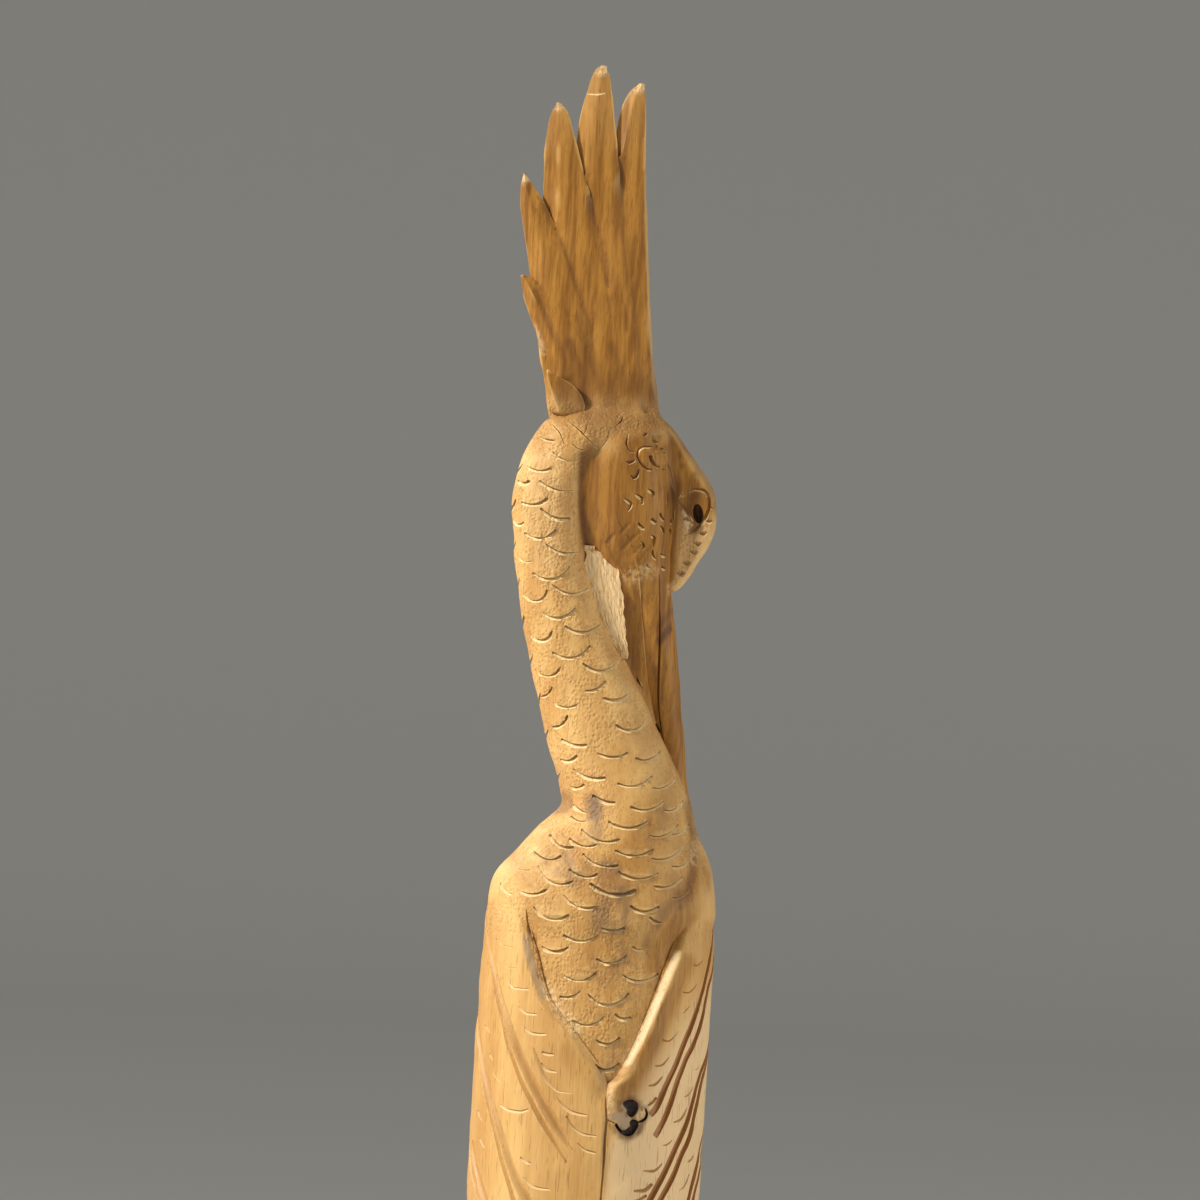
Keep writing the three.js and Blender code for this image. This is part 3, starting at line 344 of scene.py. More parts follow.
EYE_PETALS = [
    [(0.1, 398.8), (-0.7, 396.9), (-0.9, 395.2), (-0.3, 393.5), (1.1, 392.5), (2.6, 392.5)],
    [(-0.7, 389.9), (0.3, 389.1), (1.5, 389.5), (2.4, 390.5)],
    [(1.1, 385.9), (1.8, 384.6), (2.8, 384.9), (3.4, 386.2), (3.6, 387.7)],
    [(4, 397.5), (4.5, 397.7), (5.5, 398.4)],
    [(7.8, 399.3), (7.1, 397.9), (7, 396.8), (8, 395.9), (9.3, 396.2)],
    [(8.3, 395.5), (8.2, 394.6), (8.7, 393.5)],
    [(9.4, 394.8), (9.8, 393.7), (10.9, 394.2)],
    [(10.5, 393.4), (10.8, 392.7), (11.4, 392.9)],
    [(13.2, 392.4), (13, 391.3), (13.5, 390.2), (14.2, 389.3)],
    [(10.4, 388.3), (11.1, 387.7), (11.7, 388.2)],
]
CHEEK_SWEEPS = [
    [(5.2, 369.2), (2.4, 366.2), (-0.3, 362.7)], [(6.8, 366.6), (4.6, 364.2), (2.8, 361.4)],
    [(8.6, 365.4), (6.5, 362.6), (4.9, 359.5)], [(2.2, 371.7), (0.2, 369.4), (-1.6, 367.1)],
    [(-2.2, 368.2), (-3.8, 366.2), (-4.9, 364.2)],
]
BROW_LINES = [
    [(13.6, 380.6), (13.7, 375.4), (13.9, 371.2)], [(14.5, 380.2), (14.5, 375), (14.8, 370.4)],
    [(12.7, 383), (12.6, 379.4), (12.9, 376.6)], [(16.2, 379.4), (16.3, 376.8), (16.8, 373.8)],
]
HEAD_CRACKS = [
    [(-18.8, 400.9), (-16.2, 399), (-13.7, 396.9), (-11.2, 394.8), (-8.7, 392.9)],
    [(-8.7, 392.9), (-11.8, 390.6), (-14.8, 388.8)], [(-9.4, 404.6), (-8.2, 401.6), (-5.9, 399)],
    [(-13.7, 396.9), (-12.8, 400.2), (-13.6, 403.4)], [(-5.9, 399), (-6.8, 395.6), (-8.7, 392.9)],
    [(-23.6, 399.6), (-20.9, 397), (-19.4, 393.6)], [(-2.2, 404.4), (-2.6, 401.8), (-4.2, 400.2)],
    [(1.6, 403.6), (2.6, 401.4), (1.8, 399.8)], [(-17.2, 394.2), (-15, 392.6), (-12.9, 392.2)],
]
# Notches along the comb's rim, and on its face the groove round the nostril's ring.
RIM_CUTS = [(26.4, 377.6), (25.6, 373.4), (24, 369.6), (22.6, 366.4), (21.6, 363.8), (19.6, 360.4),
            (18, 357.2)]
RING_OUTER = [(18.6, 381.3), (20.7, 382.6), (23, 382.4), (24.9, 380.5), (25.2, 377.9),
              (24.5, 374.9), (22.8, 372), (20.5, 369.7), (18.4, 368.4)]
NOSTRIL = (22.0, 375.4)
NOSTRIL_HALF = (1.6, 3.0, 3.0)
NOSTRIL_LEAN = -12.0
MEND = [(-19.6, 499.3), (-17, 499.2), (-13, 499.8)]
MEND_DEPTH = ([-19, -15.6, -11], [2.4, 1.35, 1.75])
# Where the crest's blades part from each other.
NOTCH_LINE = [(-34, 430), (-31, 438), (-28.8, 461), (-18.4, 474), (-8.3, 482), (0, 486)]
# Where the brown wood of the head starts beside the neck: height and place.
NECK_EDGE = [[276, 28.5], [292, 23.2], [302, 18.2], [317, 10.3], [331, 2.7], [346, -5.7],
             [358, -10.2], [366, -12.4], [375, -13.8], [385, -14.3], [392, -14], [400, -11]]
# Soft hollows eased into the wood: a line, its width and its depth.
SOFT_LINES = [
    ([(-28.8, 464.2), (-23.3, 452.5), (-18.5, 441.5), (-14.3, 431), (-12.6, 423)], 0.9, 0.35),
    ([(-18.4, 475.7), (-15.7, 465.6), (-12.1, 455), (-9.6, 444), (-8.2, 434)], 0.9, 0.35),
    ([(-8.3, 482.9), (-6.9, 470), (-5.4, 456), (-3.6, 442), (-2.6, 430)], 0.9, 0.35),
    ([(-30.5, 439), (-25.6, 428), (-20.4, 419), (-16.2, 411)], 0.9, 0.35),
    ([(-13.9, 390), (-14, 382), (-12.9, 372), (-11.2, 364)], 0.9, 0.3),
    ([(26.2, 277), (26.8, 267.5), (25.4, 261.5), (21.5, 256), (17.5, 249), (14.5, 243)], 1.5, 0.7),
]

LEG_RINGS = 44
LEG_SPREAD = 13.0
LEG_Y = 8.0
LEG_PROFILE = [[84, 5, 6], [68, 9.5, 4.4], [58, 10.5, 4], [51, 11, 5], [44, 10, 3.9],
               [30, LEG_Y, 3.8], [24, LEG_Y, 4.8], [18, LEG_Y, 5]]
THIGH = {"y": 5.0, "z": 86.0, "half": (9.5, 11.0, 22.0)}
TOE_TURNS = [(-30, 21), (8, 21), (46, 21), (188, 13)]
TOE_RISE = 1.0
TOE_PROFILE = [[0, 4], [0.4, 3.1], [0.6, 3.5], [1, 1]]
# Height and inset of the base's side, rounded over at the top, and the heights of its rings.
BASE_PROFILE = [[0, -0.8], [7, 0], [17, -1.6], [21, -7], [22, -16], [22.3, -34]]
BASE_RINGS = [0, 0.4, 1.5, 4, 7, 10, 13, 16, 18, 19.6, 20.6, 21.2, 21.6, 21.9, 22.1, 22.3]
BASE_COLUMNS = 108
BASE_FACETS = 12
BASE_WAVE = 0.4


# Shapes
def smooth(value, low, high):
    """Zero below low, one above high, and 3t squared less 2t cubed of the share t between."""
    t = np.clip((np.asarray(value, float) - low) / (high - low), 0, 1)
    return t * t * (3 - 2 * t)


def spline(rows, at):
    """Monotone cubic through rows of position and values: the slope at a row is the harmonic
    mean of the slopes on both sides of it, or zero at a turn and at the ends."""
    rows = np.asarray(rows, float)
    x, y = rows[:, 0], rows[:, 1:]
    step = np.diff(x)
    slope = np.diff(y, axis=0) / step[:, None]
    before, after = slope[:-1], slope[1:]
    rising = before * after > 0
    tangent = np.zeros_like(y)
    tangent[1:-1] = np.where(rising, 2 * before * after / np.where(rising, before + after, 1), 0)
    at = np.asarray(at, float)
    i = np.clip(np.searchsorted(x, at, side="right") - 1, 0, len(x) - 2)
    t = np.clip((at - x[i]) / step[i], 0, 1)[..., None]
    span = step[i][..., None]
    return ((2 * t**3 - 3 * t**2 + 1) * y[i] + (3 * t**2 - 2 * t**3) * y[i + 1]
            + (t**3 - 2 * t**2 + t) * span * tangent[i] + (t**3 - t**2) * span * tangent[i + 1])


def oval(slices, angle, z, lift=0.0):
    """A point of a level oval: centre plus half widths times sine and minus cosine of the angle,
    which starts at the back and grows to the right, plus the lift along the oval's normal."""
    angle, z = np.broadcast_arrays(np.asarray(angle, float), np.asarray(z, float))
    left, right, back, front = np.moveaxis(slices(z), -1, 0)
    half_x, half_y = (right - left) / 2, (front - back) / 2
    out_x, out_y = np.sin(angle) / half_x, -np.cos(angle) / half_y
    size = np.hypot(out_x, out_y)
    return np.stack([(left + right) / 2 + half_x * np.sin(angle) + lift * out_x / size,
                     (back + front) / 2 - half_y * np.cos(angle) + lift * out_y / size, z], -1)


def body_slices(z):
    """The slices of body and neck at any height."""
    return spline(TRUNK, z)


def sunk_slices(z):
    """The body's slices, drawn in by the recess on the left, right and back under the wings."""
    recess = WING_RECESS * (1 - smooth(z, *RECESS_FADE))
    return body_slices(z) + recess[..., None] * np.array([1, -1, 1, 0])


def head_slices(z):
    """The slices of head and beak at any height."""
    return spline(HEAD, z)


def angle_at(slices, x, z):
    """The angle at which a slice passes a place across the back: the arc sine of the share."""
    sides = slices(np.asarray(z, float))
    left, right = sides[..., 0], sides[..., 1]
    return np.arcsin(np.clip((2 * np.asarray(x) - left - right) / (right - left), -0.995, 0.995))


def unit(vectors):
    """Each vector divided by its length."""
    return vectors / np.maximum(np.linalg.norm(vectors, axis=-1, keepdims=True), 1e-9)


def skin(rings, start, end):
    """A closed surface: a grid of points that closes on itself across, with a fan to a pole at
    each end. Returns points, four-sided and three-sided faces, facing outwards."""
    rows, columns = rings.shape[:2]
    index = np.arange(rows * columns).reshape(rows, columns)
    near = np.roll(index, -1, axis=1)
    quads = np.stack([index[:-1], near[:-1], near[1:], index[1:]], -1).reshape(-1, 4)
    points = np.concatenate([rings.reshape(-1, 3), [start, end]])
    first = np.full(columns, rows * columns)
    fans = np.concatenate([np.stack([first, near[0], index[0]], -1),
                           np.stack([first + 1, index[-1], near[-1]], -1)])
    return outward(points, quads, fans)


def outward(points, quads, fans):
    """Turns all faces round where the volume that they enclose comes out negative."""
    corners = np.concatenate([quads[:, :3], quads[:, [0, 2, 3]], fans])
    a, b, c = (points[corners[:, k]] for k in range(3))
    if np.einsum("ij,ij->", a, np.cross(b, c)) < 0:
        return points, quads[:, ::-1], fans[:, ::-1]
    return points, quads, fans


def slab(outer, inner):
    """A closed plate between two grids of points of the same size, walled along its four sides."""
    rows, columns = outer.shape[:2]
    top = np.arange(rows * columns).reshape(rows, columns)
    low = top + rows * columns
    faces = [np.stack([top[:-1, :-1], top[:-1, 1:], top[1:, 1:], top[1:, :-1]], -1),
             np.stack([low[:-1, :-1], low[1:, :-1], low[1:, 1:], low[:-1, 1:]], -1)]
    for near, far in ((top[::-1, 0], low[::-1, 0]), (top[:, -1], low[:, -1]),
                      (top[0], low[0]), (top[-1, ::-1], low[-1, ::-1])):
        faces.append(np.stack([near[1:], near[:-1], far[:-1], far[1:]], -1))
    quads = np.concatenate([part.reshape(-1, 4) for part in faces])
    points = np.concatenate([outer.reshape(-1, 3), inner.reshape(-1, 3)])
    return outward(points, quads, np.zeros((0, 3), int))


def levels(runs):
    """Heights in even steps along each run of first, last and count."""
    return np.concatenate([np.linspace(*run) for run in runs])


def drawn_in(rings, pole, shares):
    """Draws the last rings in towards the pole, each by its share, at their own heights."""
    for row, share in enumerate(shares, -len(shares)):
        rings[row] += share * (np.array(pole) - rings[row]) * np.array([1, 1, 0])
    return rings


def trunk():
    """Neck and body: the sunk slices at close heights, with columns crowded on the back."""
    even = np.linspace(-1, 1, TRUNK_COLUMNS, endpoint=False)
    angle = np.pi * ((1 - BACK_CROWDING) * even + BACK_CROWDING * even**3)
    rings = oval(sunk_slices, angle[None, :], levels(TRUNK_RUNS)[:, None])
    return skin(drawn_in(rings, NECK_TOP, TRUNK_CLOSING), RUMP, NECK_TOP)


def wing(shape, rng):
    """A plate over the body from its inner edge round to its front edge. Its lift follows the
    lip's profile with the distance from the edge, and it dives into the shoulder at the top.
    Below the point where both wings meet, the lip is gone."""
    z = levels(WING_RUNS)[:, None]
    start = angle_at(body_slices, spline(shape["inner"], z[:, 0])[:, 0], z[:, 0])[:, None]
    end = shape["side"] * np.radians(spline(WING_FRONT, z[:, 0]))
    share = np.linspace(0, 1, WING_COLUMNS)[None, :]
    angle = start + (end - start) * share**WING_CROWDING
    fade = smooth(z, *shape["fade"])
    away = np.abs(angle - start) * LOG_RADIUS
    lip = spline(shape["lip"], np.minimum(away, LIP_REACH))[..., 0] * smooth(z, *LIP_START)
    if shape["side"] < 0:
        torn = smooth(z, *TORN_START) * (1 - smooth(z, *TORN_END)) * (1 - smooth(away, *TORN_REACH))
        lip = lip + torn * rng.normal(0, TORN_ROUGHNESS, lip.shape)
    lift = lip * (1 - fade) - WING_DIVE * fade
    depth = np.full_like(lift, -WING_DEPTH)
    return slab(oval(body_slices, angle, z + 0 * angle, lift),
                oval(body_slices, angle, z + 0 * angle, depth))


def head():
    """Head and beak: the head's slices, drawn together towards the crown at the last rings."""
    angle = np.linspace(0, 2 * np.pi, HEAD_COLUMNS, endpoint=False)
    rings = oval(head_slices, angle[None, :], levels(HEAD_RUNS)[:, None])
    return skin(drawn_in(rings, HEAD_TOP, HEAD_CLOSING), BEAK_TIP, HEAD_TOP)


def web():
    """The wood left between neck and beak: a plate whose near face slopes with the square of the
    way across from beside the neck to just over the beak."""
    z = np.linspace(WEB[0][0], WEB[-1][0], WEB_GRID[0])
    left, right, back = spline(WEB, z).T
    beak = on_surface(head_slices, right, z)[0][:, 1] - WEB_SINK
    share = np.linspace(0, 1, WEB_GRID[1])[None, :]
    x = left[:, None] + (right - left)[:, None] * share
    y = back[:, None] + (beak - back)[:, None] * share**2
    near = np.stack([x, y, z[:, None] + 0 * x], -1)
    far = near.copy()
    far[..., 1] = WEB_FRONT
    return slab(near, far)


def raw_wedge(rng):
    """The torn wedge beside the neck: a nearly flat plate, uneven along its slanting fibres."""
    rows, columns = WEDGE_GRID
    z = np.linspace(RAW_WEDGE[0][0], RAW_WEDGE[-1][0] + 1, rows)[:, None]
    sides = spline(RAW_WEDGE, z[:, 0])
    share = np.linspace(0, 1, columns)[None, :]
    left = sides[:, :1] - WEDGE_TUCK[0] + WEDGE_TUCK[1] * smooth(z, *WEDGE_TUCK_END)
    left = left + WEDGE_WOBBLE * np.sin(z * 1.1)
    right = sides[:, 1:] + 0.3
    right = right + WEDGE_WOBBLE * np.sin(z * 1.3) * np.sin(z * 0.47)
    x = left + (right - left) * share
    fibre = rng.normal(0, 1, rows)
    slant = (share * rows + FIBRE_SLANT * (z - z[0])) % (rows - 1)
    y = WEDGE_FACE + FIBRE_DEPTH * np.interp(slant, np.arange(rows), fibre)
    y = y + SPLINTER_DEPTH * rng.normal(0, 1, x.shape)
    y = y - WEDGE_LEAN * (z - WEDGE_KNEE) * (z > WEDGE_KNEE)
    face = np.stack([x, y, z + 0 * x], -1)
    rear = face.copy()
    rear[..., 1] = 0
    return slab(face, rear)


def comb():
    """The comb over the brow: rings of its outline shrunk towards the middle, with a rounded rim
    whose height over the middle plane is the half thickness times a quarter circle."""
    outline = closed_curve(COMB_OUTLINE, COMB_POINTS)
    centre = np.array(COMB_CENTRE)
    reach = np.linalg.norm(outline - centre, axis=1, keepdims=True)
    middle = COMB_BACK + COMB_THICKNESS / 2
    turn = np.linspace(0, np.pi / 2, COMB_RIM_STEPS)
    inset = np.concatenate([COMB_RIM * (1 - np.sin(np.pi / 2 - turn)), COMB_RINGS])
    height = np.concatenate([COMB_THICKNESS / 2 * np.sin(turn)**0.8,
                             np.full(len(COMB_RINGS), COMB_THICKNESS / 2)])
    face = [centre + (outline - centre) * np.maximum(1 - i / reach, 0.14 - 0.012 * i) for i in inset]
    near, far = ([np.stack([ring[:, 0], np.full(len(ring), middle + sign * rise), ring[:, 1]], -1)
                  for ring, rise in zip(face, height)] for sign in (-1, 1))
    rings = np.array(near[::-1] + far[1:])
    pole = np.array([centre[0], middle, centre[1]])
    half = np.array([0, COMB_THICKNESS / 2, 0])
    return skin(rings, pole - half, pole + half)


def closed_curve(corners, count):
    """A closed centripetal curve through the corners: each span is a cubic whose tangents come
    from its neighbours, weighted by the square roots of the chords."""
    p = np.array(corners, float)
    n = len(p)
    spans = np.arange(n)
    p0, p1, p2, p3 = (p[(spans + k - 1) % n] for k in range(4))
    t01, t12, t23 = (np.sqrt(np.linalg.norm(b - a, axis=1, keepdims=True))
                     for a, b in ((p0, p1), (p1, p2), (p2, p3)))
    m1 = p2 - p1 + t12 * ((p1 - p0) / t01 - (p2 - p0) / (t01 + t12))
    m2 = p2 - p1 + t12 * ((p3 - p2) / t23 - (p3 - p1) / (t12 + t23))
    u = np.linspace(0, n, count, endpoint=False)
    k = u.astype(int)
    t = (u - k)[:, None]
    return ((2 * t**3 - 3 * t**2 + 1) * p1[k] + (t**3 - 2 * t**2 + t) * m1[k]
            + (3 * t**2 - 2 * t**3) * p2[k] + (t**3 - t**2) * m2[k])


def ball(centre, half, rows=20, columns=28):
    """An ellipsoid: its rings are circles of the sine of the latitude, scaled to the halves."""
    tall = np.linspace(0, np.pi, rows + 1)[1:-1, None]
    turn = np.linspace(0, 2 * np.pi, columns, endpoint=False)[None, :]
    rings = np.stack([np.sin(tall) * np.cos(turn), np.sin(tall) * np.sin(turn),
                      np.cos(tall) + 0 * turn], -1)
    half, centre = np.array(half, float), np.array(centre, float)
    return skin(rings * half + centre, centre + half * [0, 0, 1], centre - half * [0, 0, 1])


# A blade's section in half widths and thicknesses, and the heights of a crest blade's left edge,
# ridge and right edge where its side is shut by a neighbour and where it stands free.
BLADE_SECTION = np.array([[-1, 0], [-0.4, 1], [1, 0.6], [1, -0.5], [0, -0.8], [-1, -0.5]])
SHUT_SECTION = (0.35, 0.75, 0.95)
FREE_SECTION = (0.25, 1, 0.55)


def blade(path, facing, half, thickness, tuck=0, flare=0, ridge=-0.4, heights=(0, 1, 0.6)):
    """A pointed blade along a path. Its section is a six-cornered outline times the half width
    and the thickness at each step, with its ridge and the heights of its left edge, ridge and
    right edge where they are told."""
    steps = len(path)
    tuck, flare, ridge = (np.broadcast_to(np.asarray(v, float), steps) for v in (tuck, flare, ridge))
    across = unit(np.cross(np.gradient(path, axis=0), facing))
    corners = np.repeat(BLADE_SECTION[None], steps, 0)
    for corner, height in enumerate(heights):
        corners[:, corner, 1] = height
    corners[:, 1, 0] = ridge
    between = np.linspace(0, 1, 7)[None, :-1, None]
    ring = np.concatenate([corners[:, [k]] * (1 - between) + corners[:, [(k + 1) % 6]] * between
                           for k in range(6)], 1)
    aside = ring[..., 0] * half[:, None]
    aside = np.where(ring[..., 0] < -0.85, aside - tuck[:, None], aside)
    aside = np.where(ring[..., 0] > 0.85, aside + flare[:, None], aside)
    points = (path[:, None] + aside[..., None] * across[:, None]
              + (ring[..., 1] * thickness[:, None])[..., None] * np.asarray(facing, float))
    return skin(points[:-1], path[0], path[-1])


def taper(share, full):
    """Full width, then one less the square of the share past it, to the power 0.6."""
    past = np.maximum(0, (share - full) / (1 - full))
    return 0.1 + 0.9 * np.maximum(0, 1 - past * past)**0.6


def crest_blade(order):
    """A crest blade: its rows joined by a curve. The fan leans back as it rises, and each blade
    stands a layer over the one behind it, more so where they part. Over the notch its left side
    is a bevel, whose ridge starts at the left edge and soon nears the middle; below the notch it
    is nearly flat, with its right edge a little proud."""
    rows, notch, parting = CREST[order]
    tip = rows[-1][0]
    shoulder = tip - BLADE_POINT
    z = np.concatenate([np.linspace(CREST_START, shoulder, 50),
                        shoulder + BLADE_POINT * np.sin(np.linspace(0.06, 1, 15) * np.pi / 2)])
    x, half = spline(rows, z).T
    share = (z - BLADE_ROOT) / (tip - BLADE_ROOT)
    steps = sum(CREST_OVERLAP + (1 - CREST_OVERLAP) * smooth(z - start, *CREST_PARTING)
                for _, _, start in CREST[1:order + 1])
    y = CREST_ROOT_Y + (CREST_REAR_Y - CREST_ROOT_Y) * smooth(z, *CREST_LEAN) - CREST_LAYER * steps
    thinning = np.maximum(0, (z - CREST_FOOT) / (HEIGHT - CREST_FOOT))**0.6
    thickness = CREST_THICKNESS[0] + (CREST_THICKNESS[1] - CREST_THICKNESS[0]) * thinning
    thickness = thickness * np.sqrt(half / half.max())
    flare = np.clip(1 - share / 0.2, 0, 1)**2 * (CREST_FLARE if order == 0 else 0)
    rise = np.clip((share - notch) / (0.75 * (1 - notch)), 0, 1)
    open_left = smooth(share - notch, -0.07, 0.01)
    open_right = smooth(z - parting, -12, -2) if order else 1.0
    heights = [shut + (free - shut) * share_open for shut, free, share_open
               in zip(SHUT_SECTION, FREE_SECTION, (open_left, open_left, open_right))]
    return blade(np.stack([x, y, z], -1), (0, -1, 0), half, thickness,
                 CREST_TUCK * np.sqrt(np.maximum(0, notch - share)), flare,
                 -0.97 + 0.85 * rise**0.3, heights)


def crest_leaf():
    """The small leaf that lies over the crest's foot."""
    z = np.concatenate([[401.9, 402.2], np.linspace(402.8, 416, 24)])
    x, half = spline(CREST_LEAF, z).T
    y = -3.0 - 0.12 * (z - 402)
    return blade(np.stack([x, y, z], -1), (0, -1, 0), half, 2.2 * (half / half.max())**0.4,
                 ridge=-0.5)


def body_blade(side, shape, lift):
    """A feather point lying on the lower body, square to the bird itself."""
    angle, top, tip, half = shape
    turn = math.radians(side * angle + DRAWN_FACE_TURN)
    share = np.linspace(0, 1, 34)
    z = top + (tip - top) * share
    path = oval(body_slices, turn, np.maximum(z, 80), lift)
    path[:, 2] = z
    out = oval(body_slices, turn, float(top), 1) - oval(body_slices, turn, float(top))
    swell = np.sin(np.pi * (0.12 + (0.82 - 0.12) * share))
    return blade(path, out, half * taper(share, 0.3), 2.2 * swell)


def limb(centres, radii, columns=20):
    """A round limb: circles of the given radii square to the line of their centres."""
    along = unit(np.gradient(centres, axis=0))
    aside = np.array([1.0, 0, 0]) if abs(along[0, 2]) > 0.7 else np.array([0, 0, 1.0])
    u = unit(np.cross(along, aside))
    v = np.cross(along, u)
    turn = np.linspace(0, 2 * np.pi, columns, endpoint=False)
    rings = (centres[:, None] + radii[:, None, None] * (u[:, None] * np.cos(turn)[:, None]
                                                        + v[:, None] * np.sin(turn)[:, None]))
    return skin(rings, centres[0], centres[-1])


def legs_and_base():
    """Legs, thighs, toes and base, square to the bird, turned to the drawn face."""
    parts = []
    for side in (-1, 1):
        z = np.linspace(LEG_PROFILE[0][0], LEG_PROFILE[-1][0], LEG_RINGS)
        y, radius = spline(LEG_PROFILE[::-1], z).T
        parts.append(limb(np.stack([np.full_like(z, side * LEG_SPREAD), y, z], -1), radius))
        parts.append(ball((side * LEG_SPREAD, THIGH["y"], THIGH["z"]), THIGH["half"], 26, 30))
        for turn, length in TOE_TURNS:
            share = np.linspace(0, 1, 16)
            ahead = np.array([side * math.sin(math.radians(turn)), math.cos(math.radians(turn)), 0])
            start = np.array([side * LEG_SPREAD, LEG_Y, BASE_HEIGHT + TOE_RISE])
            radius = spline(TOE_PROFILE, share)[:, 0]
            parts.append(limb(start + share[:, None] * length * ahead, radius, 14))
    turn = np.linspace(0, 2 * np.pi, BASE_COLUMNS, endpoint=False)
    z = np.array(BASE_RINGS)
    inset = spline(BASE_PROFILE, z)[:, :1]
    radius = BASE_RADIUS + inset + BASE_WAVE * (np.cos(BASE_FACETS * turn)[None, :] - 1)
    rings = np.stack([radius * np.cos(turn), radius * np.sin(turn), z[:, None] + 0 * radius], -1)
    parts.append(skin(rings, (0, 0, 0), (0, 0, BASE_HEIGHT + 0.4)))
    back = turned(DRAWN_FACE_TURN)
    return [(points @ back.T, quads, fans) for points, quads, fans in parts]


def turned(degrees):
    """The matrix that turns points about Z."""
    return np.array(Matrix.Rotation(math.radians(degrees), 3, "Z"))


# Cuts
def arc(x0, z0, x1, z1, bow, steps=13):
    """Points on a circular arc over a chord, bowed to the right of its direction."""
    chord = math.hypot(x1 - x0, z1 - z0)
    half = 2 * math.atan2(2 * bow, chord)
    a = np.linspace(-half, half, steps)
    radius = chord / 2 / math.sin(half)
    along = radius * np.sin(a)
    down = radius * (np.cos(a) - math.cos(half))
    ux, uz = (x1 - x0) / chord, (z1 - z0) / chord
    return (x0 + x1) / 2 + along * ux + down * uz, (z0 + z1) / 2 + along * uz - down * ux


def drawn(points, step=0.8):
    """An eased line through drawn points at even steps, as two arrays."""
    points = np.array(points, float)
    reach = np.concatenate([[0], np.cumsum(np.linalg.norm(np.diff(points, axis=0), axis=1))])
    at = np.linspace(0, reach[-1], max(6, int(reach[-1] / step) + 1))
    return tuple(spline(np.column_stack([reach, points]), at).T)


def leaning(inner, outer):
    """The section of a stop cut: a steep wall of the inner width and a long one outside."""
    return [(-inner, 1), (-0.5 * inner, 0.45), (0, 0), (0.5 * outer, 0.4), (outer, 1)]


def flat(half):
    """The section of a channel with a flat floor."""
    return [(-half, 1), (-0.82 * half, 0.1), (0, 0), (0.82 * half, 0.1), (half, 1)]


def rounded(half):
    """The section of a round gouge."""
    return [(-half, 1), (-0.6 * half, 0.36), (0, 0), (0.6 * half, 0.36), (half, 1)]


# How each kind of stroke is cut: its section, its depth, how far the cutter clears the surface,
# the step along the line, and how soon it is at its full depth.
STROKES = {
    "split": dict(section=rounded(0.45), depth=0.8, clear=1, step=2, ends=5),
    "slit": dict(section=leaning(0.8, 0.9), depth=3.2, clear=1.2),
    "knot_root": dict(section=rounded(0.4), depth=0.6, clear=0.6, step=0.5, ends=3),
    "knot_tail": dict(section=rounded(0.55), depth=0.8, clear=0.6, step=0.5),
    "knot_edge": dict(section=rounded(0.45), depth=0.7, clear=0.6, step=0.4, ends=3),
    "nick": dict(section=leaning(0.3, 1.0), depth=0.8, clear=0.5, step=0.45),
    "petal": dict(section=leaning(1.0, 0.3), depth=0.75, clear=0.6, step=0.45),
    "eye_ring": dict(section=rounded(0.4), depth=0.6, clear=0.8, step=0.45, ends=3),
    "mouth": dict(section=rounded(0.36), depth=0.8, clear=0.8, step=2),
    "sweep": dict(section=rounded(0.9), depth=0.3, clear=0.5),
    "brow_line": dict(section=rounded(0.35), depth=0.4, clear=0.5),
}
# The measured crescents, by the two places across between which they start: section and depth.
CRESCENTS = {
    "crescent": (-28, 0, leaning(0.2, 0.85), 0.58),
    "faint_crescent": (-40, -28, leaning(0.2, 0.5), 0.35),
    "right_crescent": (0, 40, leaning(0.4, 0.45), 0.55),
}
# Sections of the scales' cuts, and their depths as shares of the scale depth: on the neck, on the
# mantle below it, for the one deep cut, and round the throat.
SCALE_SECTION = leaning(0.3, 0.85)
SCALE_SHARES = {"neck": 1.0, "mantle": 1.15, "deep": 1.6, "throat": 0.9}
MANTLE_TOP = 280
DEEP_SECTION = leaning(0.5, 1.2)
THROAT_SECTION = leaning(0.25, 1.4)
SIDE_SECTION = leaning(0.2, 0.95)
SIDE_DEPTH = 0.55
# The channels: half width and depth of the narrow ones, share of the width and depth of the broad
# ones, and share of the width of the flat ones.
NARROW_HALF, NARROW_DEPTH = 0.75, 0.8
BROAD_SHARE, BROAD_DEPTH = 0.6, 0.95
FLAT_SHARE = 0.42


def gouge(points, out, section, depth, clear=0.8, ends=None):
    """A cutter along a line on a surface. Its section rises from its depth to the surface and
    goes on over it with the same slope; it sinks by the sine of the way to the power 0.8, or
    is full but for its ends."""
    along = np.gradient(points, axis=0)
    across = unit(np.cross(along, out))
    t = np.linspace(0, 1, len(points))
    swing = np.maximum(np.sin(np.pi * t), 0)
    sink = swing**0.8 if ends is None else np.minimum(1, ends * swing)**0.7
    low = depth * sink[:, None]
    places, rises = (np.array(v, float) for v in zip(*section))
    for end, near in ((0, 1), (-1, -2)):
        slope = (places[end] - places[near]) / (1 - rises[near])
        places[end] += slope * clear / depth
    rings = []
    for place, rise in zip(places, rises):
        lift = clear + 0 * low if rise == 1 else rise * depth - low
        rings.append(points + place * across + lift * out)
    lid = points + clear * out
    return skin(np.stack(rings, 1)[1:-1], lid[0], lid[-1])


def pad(slices, outline, layers, count=36):
    """A closed body on a surface: at each layer its outline is drawn in to a share of its size
    about its middle and lifted over the surface."""
    edge = closed_curve(outline, count)
    middle = edge.mean(axis=0)
    rings = []
    for share, lift in layers:
        points, out = on_surface(slices, *(middle + (edge - middle) * share).T)
        rings.append(points + lift * out)
    return skin(np.array(rings), rings[0].mean(axis=0), rings[-1].mean(axis=0))


